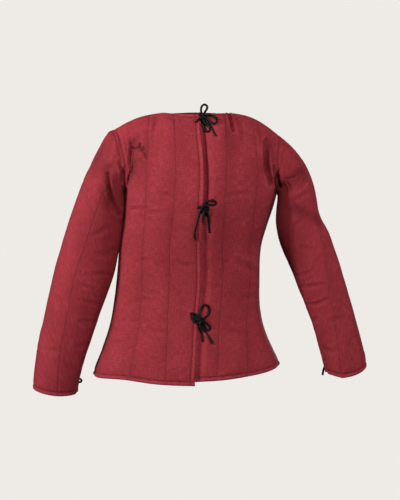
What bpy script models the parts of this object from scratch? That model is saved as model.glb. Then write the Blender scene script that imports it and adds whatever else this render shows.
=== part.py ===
"""Quilted gambeson: a hip-length padded coat with set-in sleeves, closed by three laced bows.

Metres, +Z up. The front faces -Y and the wearer's right side is at -X. The origin is the middle of the shoulder
line, where the wearer holds the garment up. Every cloth piece is a hollow wall: its outer face carries the quilting
and the rolled edges, its inner face is plain.
"""

import math
from typing import NamedTuple

import bmesh
import bpy
import numpy as np

# ---------------------------------------------------------------- cloth
WALL = 0.0060  # through the middle of a padded channel
STITCH_DEPTH = 0.0028  # how far a quilting line pulls the outer face in
FULLNESS = 0.55  # below 1 makes a channel round up quickly beside its stitching
SEAM_GAP = 0.0003
SEAM_INSET = 0.0008  # of the outer face along an armhole seam
LAP_GAP = 0.0020  # between the lapping front and the one under it
STEP = 1e-4  # for slopes


class Roll(NamedTuple):
    """Depth of the outer face at a distance from a turned and topstitched edge."""

    distance: float
    inset: float


EDGE_ROLL = (
    Roll(distance=0.000, inset=0.0022),
    Roll(distance=0.004, inset=0.0003),
    Roll(distance=0.009, inset=0.0024),
    Roll(distance=0.016, inset=0.0006),
    Roll(distance=0.026, inset=0.0000),
)


# ---------------------------------------------------------------- body
class Level(NamedTuple):
    """Outline of the body at one height."""

    z: float
    right_x: float
    left_x: float
    front_y: float
    back_y: float


LEVELS = (
    Level(z=-0.660, right_x=-0.2555, left_x=0.2215, front_y=-0.140, back_y=0.152),
    Level(z=-0.615, right_x=-0.2425, left_x=0.2055, front_y=-0.134, back_y=0.147),
    Level(z=-0.571, right_x=-0.2255, left_x=0.1845, front_y=-0.126, back_y=0.140),
    Level(z=-0.523, right_x=-0.2085, left_x=0.1635, front_y=-0.117, back_y=0.129),
    Level(z=-0.475, right_x=-0.1985, left_x=0.1525, front_y=-0.110, back_y=0.117),
    Level(z=-0.406, right_x=-0.1905, left_x=0.1505, front_y=-0.106, back_y=0.104),
    Level(z=-0.331, right_x=-0.1865, left_x=0.1535, front_y=-0.112, back_y=0.104),
    Level(z=-0.283, right_x=-0.1855, left_x=0.1655, front_y=-0.119, back_y=0.110),
    Level(z=-0.226, right_x=-0.1835, left_x=0.1845, front_y=-0.123, back_y=0.117),
    Level(z=-0.190, right_x=-0.1795, left_x=0.1935, front_y=-0.120, back_y=0.119),
    Level(z=-0.150, right_x=-0.1725, left_x=0.1955, front_y=-0.113, back_y=0.117),
)
SIDE_Y = 0.004  # side seams
UNDERARM_Z = -0.190
SQUARENESS = 0.92  # power of the outline's width and depth: 1 is an ellipse, less has fuller corners


class Hem(NamedTuple):
    """Height of the hem at an angle round the body, from the centre front towards the wearer's left."""

    angle: float
    z: float


HEM_RIGHT = (
    Hem(angle=-180, z=-0.641),
    Hem(angle=-130, z=-0.641),
    Hem(angle=-90, z=-0.629),
    Hem(angle=-70, z=-0.634),
    Hem(angle=-40, z=-0.636),
    Hem(angle=-15, z=-0.646),
    Hem(angle=10, z=-0.650),
)
HEM_LEFT = (
    Hem(angle=-15, z=-0.640),
    Hem(angle=15, z=-0.637),
    Hem(angle=40, z=-0.626),
    Hem(angle=70, z=-0.611),
    Hem(angle=90, z=-0.601),
    Hem(angle=130, z=-0.630),
    Hem(angle=180, z=-0.641),
)


# ---------------------------------------------------------------- neck and shoulders
NECK_MID_X = -0.002
NECK_HALF_WIDTH = 0.082
NECK_SIDE_Y = 0.003
NECK_SIDE_Z = -0.002
NECK_FRONT_Y = -0.062
NECK_FRONT_Z = -0.008
NECK_BACK_Y = 0.062
NECK_BACK_Z = 0.004
NECK_LEAN = 0.50  # how far the cloth leans inwards at the neck, per metre of height


class Shoulder(NamedTuple):
    """End of one shoulder seam, and how far the seam bows up between neck and end."""

    tip_x: float
    tip_y: float
    tip_z: float
    bow: float


SHOULDER_RIGHT = Shoulder(tip_x=-0.195, tip_y=0.002, tip_z=-0.041, bow=0.008)
SHOULDER_LEFT = Shoulder(tip_x=0.1975, tip_y=0.002, tip_z=-0.055, bow=0.013)


class Armhole(NamedTuple):
    """Point of an armhole seam. The angle runs from the shoulder (0) by the front (90) to the underarm (180)."""

    angle: float
    x: float
    y: float
    z: float


ARMHOLE_RIGHT = (
    Armhole(angle=0, x=-0.195, y=0.002, z=-0.041),
    Armhole(angle=36, x=-0.184, y=-0.026, z=-0.060),
    Armhole(angle=72, x=-0.175, y=-0.048, z=-0.094),
    Armhole(angle=108, x=-0.167, y=-0.056, z=-0.132),
    Armhole(angle=144, x=-0.174, y=-0.040, z=-0.167),
    Armhole(angle=180, x=-0.1795, y=0.004, z=-0.190),
    Armhole(angle=216, x=-0.176, y=0.048, z=-0.170),
    Armhole(angle=252, x=-0.172, y=0.064, z=-0.134),
    Armhole(angle=288, x=-0.176, y=0.056, z=-0.094),
    Armhole(angle=324, x=-0.186, y=0.032, z=-0.060),
    Armhole(angle=360, x=-0.195, y=0.002, z=-0.041),
)
ARMHOLE_LEFT = (
    Armhole(angle=0, x=0.1975, y=0.002, z=-0.055),
    Armhole(angle=36, x=0.197, y=-0.026, z=-0.077),
    Armhole(angle=72, x=0.195, y=-0.047, z=-0.106),
    Armhole(angle=108, x=0.192, y=-0.055, z=-0.140),
    Armhole(angle=144, x=0.189, y=-0.040, z=-0.171),
    Armhole(angle=180, x=0.1935, y=0.004, z=-0.190),
    Armhole(angle=216, x=0.187, y=0.048, z=-0.172),
    Armhole(angle=252, x=0.188, y=0.063, z=-0.140),
    Armhole(angle=288, x=0.194, y=0.055, z=-0.108),
    Armhole(angle=324, x=0.197, y=0.032, z=-0.078),
    Armhole(angle=360, x=0.1975, y=0.002, z=-0.055),
)
ARMHOLE_PULL = 0.40  # share of a panel's width, from its middle, that the armhole doesn't reshape
RIM_SHARED_TO = 30  # degrees from the shoulder, down to which both walls at an armhole share a rim direction
RIM_OWN_FROM = 80
SETTLING_ROUNDS = 3
PACE_STEPS = 200
PACE_LEVEL = 0.60  # share of the armhole's height up to which the rows of a panel's grid stay level with it
ARMHOLE_RISE = 0.50  # share of the armhole's height over which its pull grows


# ---------------------------------------------------------------- quilting
class Line(NamedTuple):
    """A quilting line or an edge of a panel: its angle round the body at three heights, and its x at the top."""

    hem: float
    waist: float
    chest: float
    top_x: float


FRONT_RIGHT_LINES = (
    Line(hem=5.0, waist=10.4, chest=5.8, top_x=0.007),
    Line(hem=-13.3, waist=-15.4, chest=-15.9, top_x=-0.052),
    Line(hem=-37.8, waist=-41.2, chest=-40.4, top_x=-0.114),
    Line(hem=-61.0, waist=-68.0, chest=-67.0, top_x=-0.158),
    Line(hem=-90.0, waist=-90.0, chest=-90.0, top_x=-0.195),
)
FRONT_LEFT_LINES = (
    Line(hem=-5.0, waist=-4.0, chest=-7.0, top_x=-0.026),
    Line(hem=18.9, waist=29.5, chest=22.5, top_x=0.072),
    Line(hem=39.6, waist=58.0, chest=50.0, top_x=0.137),
    Line(hem=63.0, waist=76.0, chest=72.0, top_x=0.171),
    Line(hem=90.0, waist=90.0, chest=90.0, top_x=0.1975),
)
BACK_LINES = (
    Line(hem=90.0, waist=90.0, chest=90.0, top_x=0.1975),
    Line(hem=112.0, waist=112.0, chest=112.0, top_x=0.160),
    Line(hem=135.0, waist=134.0, chest=135.0, top_x=0.113),
    Line(hem=158.0, waist=157.0, chest=158.0, top_x=0.050),
    Line(hem=180.0, waist=180.0, chest=180.0, top_x=-0.002),
    Line(hem=202.0, waist=203.0, chest=202.0, top_x=-0.054),
    Line(hem=225.0, waist=226.0, chest=225.0, top_x=-0.116),
    Line(hem=248.0, waist=248.0, chest=248.0, top_x=-0.160),
    Line(hem=270.0, waist=270.0, chest=270.0, top_x=-0.195),
)
LINE_HEM_Z = -0.629
LINE_WAIST_Z = -0.406
LINE_CHEST_Z = -0.200
CHANNEL_COLUMNS = (0.0, 0.12, 0.50, 0.88)  # places across a channel, from one line towards the next
NECK_CHANNEL_COLUMNS = (0.0, 0.12, 0.32, 0.50, 0.88)  # a channel that ends at the neck's side
EDGE_CHANNEL_COLUMNS = (0.0, 0.06, 0.13, 0.24, 0.50, 0.88)  # the channel along a front edge
HEM_ROWS = (0.0, 0.004, 0.009, 0.017)  # distances above the hem
BODY_ROWS = 14  # from there to the underarm
LAP_LEVEL = 0.008  # how far past the lap's edge the front under it stays down
LAP_RAMP = 0.030  # and then takes to come level


# ---------------------------------------------------------------- sleeves
class Ring(NamedTuple):
    """Section of a sleeve: its outer and inner points seen from the front, its middle and half depth along Y,
    how much lower its front is than its sides, and how far the quilting lines have turned round the arm."""

    place: float
    outer_x: float
    outer_z: float
    inner_x: float
    inner_z: float
    middle_y: float
    half_depth: float
    front_drop: float
    turn: float


SLEEVE_RIGHT = (
    Ring(1, -0.2115, -0.050, -0.1815, -0.198, 0.003, 0.062, 0.000, 0),
    Ring(2, -0.2335, -0.086, -0.1850, -0.208, 0.003, 0.062, 0.000, -6),
    Ring(3, -0.2515, -0.121, -0.1870, -0.221, 0.003, 0.062, 0.000, -12),
    Ring(4, -0.2675, -0.156, -0.1862, -0.238, 0.003, 0.061, 0.000, -18),
    Ring(5, -0.2825, -0.195, -0.1858, -0.260, 0.003, 0.060, 0.000, -21),
    Ring(6, -0.2975, -0.237, -0.1862, -0.286, 0.003, 0.059, 0.000, -23),
    Ring(7, -0.3125, -0.283, -0.1868, -0.315, 0.003, 0.058, 0.000, -25),
    Ring(8, -0.3255, -0.328, -0.1888, -0.352, 0.002, 0.057, 0.000, -27),
    Ring(9, -0.3365, -0.366, -0.1970, -0.391, 0.000, 0.056, 0.002, -31),
    Ring(10, -0.3475, -0.412, -0.2140, -0.439, -0.003, 0.054, 0.003, -30),
    Ring(11, -0.3585, -0.461, -0.2310, -0.487, -0.006, 0.052, 0.004, -25),
    Ring(12, -0.3705, -0.515, -0.2480, -0.538, -0.009, 0.049, 0.005, -22),
    Ring(13, -0.3805, -0.568, -0.2650, -0.588, -0.012, 0.046, 0.007, -18),
    Ring(14, -0.3875, -0.620, -0.2770, -0.635, -0.014, 0.044, 0.009, -12),
    Ring(15, -0.3910, -0.660, -0.2820, -0.672, -0.015, 0.043, 0.012, -10),
)
SLEEVE_LEFT = (
    Ring(1, 0.2155, -0.069, 0.1945, -0.198, 0.003, 0.060, 0.000, 0),
    Ring(2, 0.2345, -0.087, 0.1955, -0.208, 0.003, 0.060, 0.000, 0),
    Ring(3, 0.2535, -0.111, 0.1945, -0.219, 0.003, 0.060, 0.000, 0),
    Ring(4, 0.2695, -0.138, 0.1930, -0.233, 0.003, 0.060, 0.000, 0),
    Ring(5, 0.2815, -0.172, 0.1920, -0.249, 0.003, 0.060, 0.000, 0),
    Ring(6, 0.2895, -0.207, 0.1920, -0.267, 0.003, 0.060, 0.000, 0),
    Ring(7, 0.2985, -0.250, 0.1950, -0.288, 0.002, 0.060, 0.000, 0),
    Ring(8, 0.3190, -0.291, 0.2040, -0.325, 0.001, 0.060, 0.002, 12),
    Ring(9, 0.3380, -0.341, 0.2210, -0.374, -0.001, 0.059, 0.004, 26),
    Ring(10, 0.3520, -0.385, 0.2380, -0.418, -0.003, 0.057, 0.006, 35),
    Ring(11, 0.3650, -0.431, 0.2570, -0.464, -0.006, 0.054, 0.008, 44),
    Ring(12, 0.3800, -0.484, 0.2770, -0.516, -0.009, 0.051, 0.010, 53),
    Ring(13, 0.3920, -0.530, 0.2910, -0.560, -0.012, 0.048, 0.013, 60),
    Ring(14, 0.4030, -0.575, 0.3020, -0.600, -0.014, 0.045, 0.016, 66),
    Ring(15, 0.4090, -0.607, 0.3080, -0.625, -0.015, 0.043, 0.018, 68),
)
SLEEVE_CHANNELS = 5
FIRST_SLEEVE_LINE = -36  # angle of a quilting line at the armhole, so that the others fall at 36, 108, 180 and 252
SLEEVE_COLUMNS = tuple(
    channel + share
    for channel in range(SLEEVE_CHANNELS)
    for share in CHANNEL_COLUMNS
    if (channel, share) not in ((2, 0.88), (3, 0.12))  # none close beside the underarm, where they would crowd
)
SLEEVE_ANGLES = tuple(FIRST_SLEEVE_LINE + 360 / SLEEVE_CHANNELS * column for column in SLEEVE_COLUMNS)
SEAM_ANGLES = tuple(angle for angle in SLEEVE_ANGLES if 0 <= angle <= 180)
SLEEVE_ROWS = 20
CUFF_ROWS = (0.017, 0.009, 0.004, 0.0)  # distances above the cuff's edge
SLIT_ANGLE = 172  # of the slit at the cuff's inner side
SLIT_REACH = 9  # to where the cuff's edge is level again, in degrees
SLIT_HEIGHT = 0.014


# ---------------------------------------------------------------- folds
class Fold(NamedTuple):
    """Trough between two points seen from the front, on the side that faces the given way along Y."""

    facing: int
    start_x: float
    start_z: float
    end_x: float
    end_z: float
    depth: float
    width: float


BODY_FOLDS = (
    Fold(facing=-1, start_x=0.171, start_z=-0.078, end_x=0.170, end_z=-0.140, depth=0.009, width=0.013),
    Fold(facing=-1, start_x=-0.152, start_z=-0.080, end_x=-0.155, end_z=-0.145, depth=0.006, width=0.013),
    Fold(facing=-1, start_x=-0.148, start_z=-0.082, end_x=-0.118, end_z=-0.095, depth=0.004, width=0.012),
    Fold(facing=1, start_x=0.160, start_z=-0.085, end_x=0.166, end_z=-0.150, depth=0.007, width=0.015),
    Fold(facing=1, start_x=-0.150, start_z=-0.080, end_x=-0.158, end_z=-0.145, depth=0.007, width=0.015),
)
SLEEVE_RIGHT_FOLDS = (
    Fold(facing=-1, start_x=-0.212, start_z=-0.140, end_x=-0.199, end_z=-0.225, depth=0.008, width=0.013),
    Fold(facing=-1, start_x=-0.228, start_z=-0.075, end_x=-0.240, end_z=-0.150, depth=0.004, width=0.014),
    Fold(facing=1, start_x=-0.235, start_z=-0.130, end_x=-0.205, end_z=-0.210, depth=0.007, width=0.015),
    Fold(facing=1, start_x=-0.300, start_z=-0.330, end_x=-0.225, end_z=-0.350, depth=0.005, width=0.014),
)
SLEEVE_LEFT_FOLDS = (
    Fold(facing=-1, start_x=0.212, start_z=-0.180, end_x=0.250, end_z=-0.150, depth=0.009, width=0.013),
    Fold(facing=-1, start_x=0.235, start_z=-0.235, end_x=0.290, end_z=-0.262, depth=0.005, width=0.013),
    Fold(facing=1, start_x=0.212, start_z=-0.190, end_x=0.255, end_z=-0.160, depth=0.007, width=0.015),
    Fold(facing=1, start_x=0.230, start_z=-0.275, end_x=0.300, end_z=-0.290, depth=0.006, width=0.015),
)


# ---------------------------------------------------------------- lace sizes
CORD_DIAMETER = 0.0036
CORD_STEP = 0.0050  # between the sections of a cord
KNOT_SEGMENTS = 12
KNOT_RINGS = 8


class Knot(NamedTuple):
    """Rounded lump of a tied bow's knot: its middle and half sizes."""

    name: str
    x: float
    y: float
    z: float
    half_x: float
    half_y: float
    half_z: float


class Cord(NamedTuple):
    """One run of a lace between the cloth and a knot, round a bow's loop or to a free end."""

    name: str
    points: tuple  # (x, y, z) along its middle


KNOTS = (
    Knot("neck_knot", 0.0172, -0.0635, -0.0168, 0.0052, 0.0060, 0.0048),
    Knot("chest_knot", 0.0215, -0.1252, -0.2360, 0.0040, 0.0041, 0.0052),
    Knot("hip_knot", 0.0105, -0.1151, -0.4991, 0.0046, 0.0052, 0.0066),
)
CORDS = (
    Cord(
        "neck_lead",
        (
            (-0.0001, -0.0714, -0.0278), (0.0032, -0.0732, -0.0252), (0.0068, -0.0700, -0.0217),
            (0.0117, -0.0658, -0.0181),
        ),
    ),
    Cord(
        "neck_stub",
        ((0.0132, -0.0645, -0.0132), (0.0101, -0.0645, -0.0095), (0.0072, -0.0640, -0.0064)),
    ),
    Cord(
        "neck_loop_top",
        (
            (0.0156, -0.0686, -0.0130), (0.0124, -0.0695, -0.0041), (0.0122, -0.0690, 0.0035),
            (0.0146, -0.0675, 0.0097), (0.0195, -0.0660, 0.0134), (0.0248, -0.0650, 0.0113),
            (0.0269, -0.0645, 0.0069), (0.0255, -0.0640, 0.0022), (0.0222, -0.0635, -0.0028),
            (0.0198, -0.0635, -0.0073), (0.0182, -0.0638, -0.0115),
        ),
    ),
    Cord(
        "neck_loop_side",
        (
            (0.0227, -0.0652, -0.0139), (0.0278, -0.0625, -0.0108), (0.0347, -0.0610, -0.0093),
            (0.0428, -0.0615, -0.0112), (0.0513, -0.0660, -0.0160), (0.0574, -0.0721, -0.0218),
            (0.0592, -0.0778, -0.0288), (0.0561, -0.0808, -0.0358), (0.0497, -0.0807, -0.0393),
            (0.0427, -0.0785, -0.0369), (0.0370, -0.0747, -0.0307), (0.0314, -0.0710, -0.0243),
            (0.0269, -0.0686, -0.0192), (0.0231, -0.0660, -0.0164),
        ),
    ),
    Cord(
        "neck_loop_low",
        (
            (0.0142, -0.0636, -0.0223), (0.0155, -0.0677, -0.0296), (0.0176, -0.0734, -0.0380),
            (0.0205, -0.0778, -0.0460), (0.0257, -0.0812, -0.0514), (0.0316, -0.0818, -0.0503),
            (0.0332, -0.0793, -0.0445), (0.0297, -0.0756, -0.0379), (0.0231, -0.0709, -0.0317),
            (0.0159, -0.0661, -0.0226),
        ),
    ),
    Cord(
        "neck_end",
        (
            (0.0197, -0.0656, -0.0217), (0.0269, -0.0677, -0.0272), (0.0321, -0.0723, -0.0334),
            (0.0375, -0.0786, -0.0413), (0.0412, -0.0839, -0.0504), (0.0445, -0.0871, -0.0572),
            (0.0485, -0.0893, -0.0622),
        ),
    ),
    Cord(
        "chest_lead",
        (
            (0.0045, -0.1244, -0.2320), (0.0087, -0.1245, -0.2306), (0.0126, -0.1238, -0.2310),
            (0.0175, -0.1254, -0.2333),
        ),
    ),
    Cord(
        "chest_loop_side",
        (
            (0.0201, -0.1265, -0.2308), (0.0190, -0.1266, -0.2241), (0.0229, -0.1264, -0.2196),
            (0.0302, -0.1250, -0.2168), (0.0384, -0.1220, -0.2153), (0.0443, -0.1195, -0.2169),
            (0.0466, -0.1180, -0.2215), (0.0438, -0.1175, -0.2257), (0.0377, -0.1193, -0.2255),
            (0.0321, -0.1220, -0.2258), (0.0256, -0.1261, -0.2323),
        ),
    ),
    Cord(
        "chest_loop_front",
        (
            (0.0182, -0.1280, -0.2403), (0.0147, -0.1306, -0.2391), (0.0140, -0.1316, -0.2345),
            (0.0166, -0.1322, -0.2284), (0.0217, -0.1326, -0.2258), (0.0269, -0.1320, -0.2279),
            (0.0297, -0.1310, -0.2326), (0.0297, -0.1286, -0.2367), (0.0269, -0.1247, -0.2392),
        ),
    ),
    Cord(
        "chest_end_low",
        (
            (0.0170, -0.1253, -0.2382), (0.0119, -0.1231, -0.2385), (0.0089, -0.1234, -0.2441),
            (0.0063, -0.1233, -0.2537), (0.0026, -0.1224, -0.2689), (-0.0014, -0.1210, -0.2839),
            (-0.0026, -0.1194, -0.2958), (-0.0005, -0.1176, -0.3064),
        ),
    ),
    Cord(
        "chest_end_side",
        (
            (0.0240, -0.1245, -0.2406), (0.0288, -0.1202, -0.2473), (0.0298, -0.1175, -0.2520),
            (0.0298, -0.1144, -0.2594), (0.0309, -0.1132, -0.2700), (0.0314, -0.1121, -0.2805),
            (0.0324, -0.1108, -0.2901),
        ),
    ),
    Cord(
        "chest_stub",
        (
            (0.0208, -0.1244, -0.2415), (0.0176, -0.1235, -0.2488), (0.0173, -0.1231, -0.2549),
            (0.0190, -0.1221, -0.2619),
        ),
    ),
    Cord(
        "hip_lead_top",
        (
            (-0.0134, -0.1125, -0.4804), (-0.0068, -0.1131, -0.4799), (0.0002, -0.1126, -0.4820),
            (0.0047, -0.1136, -0.4874), (0.0079, -0.1142, -0.4932),
        ),
    ),
    Cord(
        "hip_lead_middle",
        (
            (-0.0063, -0.1126, -0.4865), (-0.0017, -0.1134, -0.4900), (0.0026, -0.1160, -0.4937),
            (0.0053, -0.1169, -0.4963),
        ),
    ),
    Cord(
        "hip_lead_low",
        (
            (-0.0110, -0.1132, -0.4855), (-0.0078, -0.1144, -0.4921), (-0.0038, -0.1145, -0.4982),
            (0.0007, -0.1151, -0.5021), (0.0055, -0.1158, -0.5023),
        ),
    ),
    Cord(
        "hip_loop_top",
        (
            (0.0120, -0.1181, -0.4924), (0.0103, -0.1186, -0.4849), (0.0094, -0.1175, -0.4774),
            (0.0110, -0.1145, -0.4700), (0.0148, -0.1110, -0.4636), (0.0204, -0.1080, -0.4603),
            (0.0270, -0.1050, -0.4618), (0.0312, -0.1026, -0.4680), (0.0317, -0.1032, -0.4760),
            (0.0289, -0.1046, -0.4839), (0.0232, -0.1095, -0.4892), (0.0153, -0.1171, -0.4935),
        ),
    ),
    Cord(
        "hip_loop_side",
        (
            (0.0162, -0.1152, -0.4982), (0.0223, -0.1115, -0.5006), (0.0277, -0.1095, -0.5047),
            (0.0319, -0.1084, -0.5103), (0.0331, -0.1093, -0.5162), (0.0303, -0.1099, -0.5199),
            (0.0258, -0.1093, -0.5174), (0.0211, -0.1094, -0.5110), (0.0158, -0.1159, -0.5033),
        ),
    ),
    Cord(
        "hip_end_low",
        (
            (0.0078, -0.1151, -0.5064), (0.0103, -0.1151, -0.5141), (0.0124, -0.1103, -0.5232),
            (0.0143, -0.1121, -0.5334), (0.0162, -0.1144, -0.5451),
        ),
    ),
    Cord(
        "hip_end_side",
        (
            (0.0120, -0.1158, -0.5066), (0.0169, -0.1110, -0.5147), (0.0223, -0.1100, -0.5213),
            (0.0284, -0.1121, -0.5313), (0.0345, -0.1142, -0.5413), (0.0396, -0.1163, -0.5497),
        ),
    ),
    Cord(
        "cuff_loop",
        (
            (-0.2890, 0.0113, -0.6403), (-0.2845, 0.0080, -0.6408), (-0.2808, 0.0035, -0.6408),
            (-0.2772, 0.0018, -0.6414), (-0.2746, 0.0012, -0.6446), (-0.2772, 0.0018, -0.6480),
            (-0.2808, 0.0035, -0.6486), (-0.2845, 0.0085, -0.6486), (-0.2901, 0.0106, -0.6480),
        ),
    ),
    Cord(
        "cuff_end",
        (
            (0.3161, 0.0129, -0.5988), (0.3118, 0.0110, -0.6065), (0.3085, 0.0090, -0.6135),
            (0.3062, 0.0080, -0.6205), (0.3050, 0.0074, -0.6265), (0.3043, 0.0070, -0.6322),
        ),
    ),
)


# ---------------------------------------------------------------- helpers
def smooth(rows, at):
    """Row of a table at any value of its first column, on smooth curves through the given rows."""
    keys = [row[0] for row in rows]
    last = len(rows) - 1
    index = min(max(int(np.searchsorted(keys, at)) - 1, 0), last - 1)

    def slope(place):
        low, high = max(place - 1, 0), min(place + 1, last)
        return (np.array(rows[high]) - np.array(rows[low])) / (keys[high] - keys[low])

    span = keys[index + 1] - keys[index]
    share = (at - keys[index]) / span
    start, end = np.array(rows[index]), np.array(rows[index + 1])
    return hermite(start, slope(index) * span, end, slope(index + 1) * span, share)


def hermite(start, start_slope, end, end_slope, share):
    """Point on the cubic between two ends with the given slopes."""
    square, cube = share**2, share**3
    return (
        (2 * cube - 3 * square + 1) * start
        + (cube - 2 * square + share) * start_slope
        + (3 * square - 2 * cube) * end
        + (cube - square) * end_slope
    )


def ease(share):
    """0 to 1 with level ends."""
    share = min(max(share, 0.0), 1.0)
    return share * share * (3 - 2 * share)


def unit(vector):
    """Vector of length 1."""
    return vector / np.linalg.norm(vector)


def signed_power(value, power):
    """Power of a number that may be negative, with its sign kept."""
    return math.copysign(abs(value) ** power, value)


def edge_inset(distance):
    """How far the outer face lies in at a distance from a turned edge."""
    return float(np.interp(distance, [roll.distance for roll in EDGE_ROLL], [roll.inset for roll in EDGE_ROLL]))


def channel_inset(share):
    """How far the outer face lies in at a share of the way across a quilted channel."""
    return STITCH_DEPTH * (1 - abs(math.sin(math.pi * share)) ** FULLNESS)


def fold_depths(points, normals, folds):
    """How far the folds press the cloth in at each point of a grid."""
    depths = np.zeros(points.shape[:2])
    for fold in folds:
        start, end = np.array((fold.start_x, fold.start_z)), np.array((fold.end_x, fold.end_z))
        along = end - start
        offsets = points[..., (0, 2)] - start
        shares = np.clip(offsets @ along / along.dot(along), 0, 1)
        distances = np.linalg.norm(offsets - shares[..., None] * along, axis=-1)
        seen = np.clip(normals[..., 1] * fold.facing * 3, 0, 1)
        depths += fold.depth * np.exp(-((distances / fold.width) ** 2)) * seen
    return depths


# ---------------------------------------------------------------- body surface
def body_point(angle, z):
    """Point of the body's outer form at an angle from the centre front, towards the wearer's left, in degrees."""
    _, right_x, left_x, front_y, back_y = smooth(LEVELS, z)
    sine, cosine = math.sin(math.radians(angle)), math.cos(math.radians(angle))
    depth = SIDE_Y - front_y if cosine > 0 else back_y - SIDE_Y
    return np.array(
        (
            (right_x + left_x) / 2 + (left_x - right_x) / 2 * signed_power(sine, SQUARENESS),
            SIDE_Y - depth * signed_power(cosine, SQUARENESS),
            z,
        )
    )


def hem_z(angle, left_piece):
    """Height of the hem at an angle round the body."""
    angle = angle - 360 if angle > 180 else angle
    rows = HEM_LEFT if left_piece or angle >= 90 else HEM_RIGHT
    return smooth(rows, angle)[1]


def shoulder_of(x):
    """The shoulder on the side of a point."""
    return SHOULDER_RIGHT if x < NECK_MID_X else SHOULDER_LEFT


def top_point(x, facing):
    """Point of a panel's top edge: along the neck between the neck's sides, and else along the shoulder seam.
    facing is -1 on the front and 1 on the back."""
    across = (x - NECK_MID_X) / NECK_HALF_WIDTH
    if abs(across) < 1:
        middle_y, middle_z = (NECK_FRONT_Y, NECK_FRONT_Z) if facing < 0 else (NECK_BACK_Y, NECK_BACK_Z)
        y = NECK_SIDE_Y + (middle_y - NECK_SIDE_Y) * math.sqrt(1 - across**2)
        return np.array((x, y, NECK_SIDE_Z + (middle_z - NECK_SIDE_Z) * (1 - across**2)))
    shoulder = shoulder_of(x)
    neck_x = NECK_MID_X + math.copysign(NECK_HALF_WIDTH, x - NECK_MID_X)
    share = (x - neck_x) / (shoulder.tip_x - neck_x)
    return np.array(
        (
            x,
            NECK_SIDE_Y + (shoulder.tip_y - NECK_SIDE_Y) * share,
            NECK_SIDE_Z + (shoulder.tip_z - NECK_SIDE_Z) * share + shoulder.bow * math.sin(math.pi * share),
        )
    )


def armhole_rows(armhole):
    """Armhole table with a row more at each end, so that curves run on round it."""
    before = armhole[-2]._replace(angle=armhole[-2].angle - 360)
    after = armhole[1]._replace(angle=armhole[1].angle + 360)
    return (before, *armhole, after)


def armhole_point(armhole, angle):
    """Point of an armhole seam."""
    return smooth(armhole_rows(armhole), angle % 360)[1:]


def armhole_rim(armhole, angle, own):
    """Direction of a wall's rim at an armhole. Over the shoulder, where the walls on both sides of the seam lean
    together, they share the direction away from the armhole's middle. Elsewhere each keeps its own."""
    middle = np.mean([row[1:] for row in armhole[:-1]], axis=0)
    along = unit(armhole_point(armhole, angle + 1) - armhole_point(armhole, angle - 1))
    out = armhole_point(armhole, angle) - middle
    out[0] = 0
    shared = unit(out - along * out.dot(along))
    from_top = min(angle % 360, 360 - angle % 360)
    apart = ease((from_top - RIM_SHARED_TO) / (RIM_OWN_FROM - RIM_SHARED_TO))
    return unit(shared * (1 - apart) + own * apart)


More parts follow.
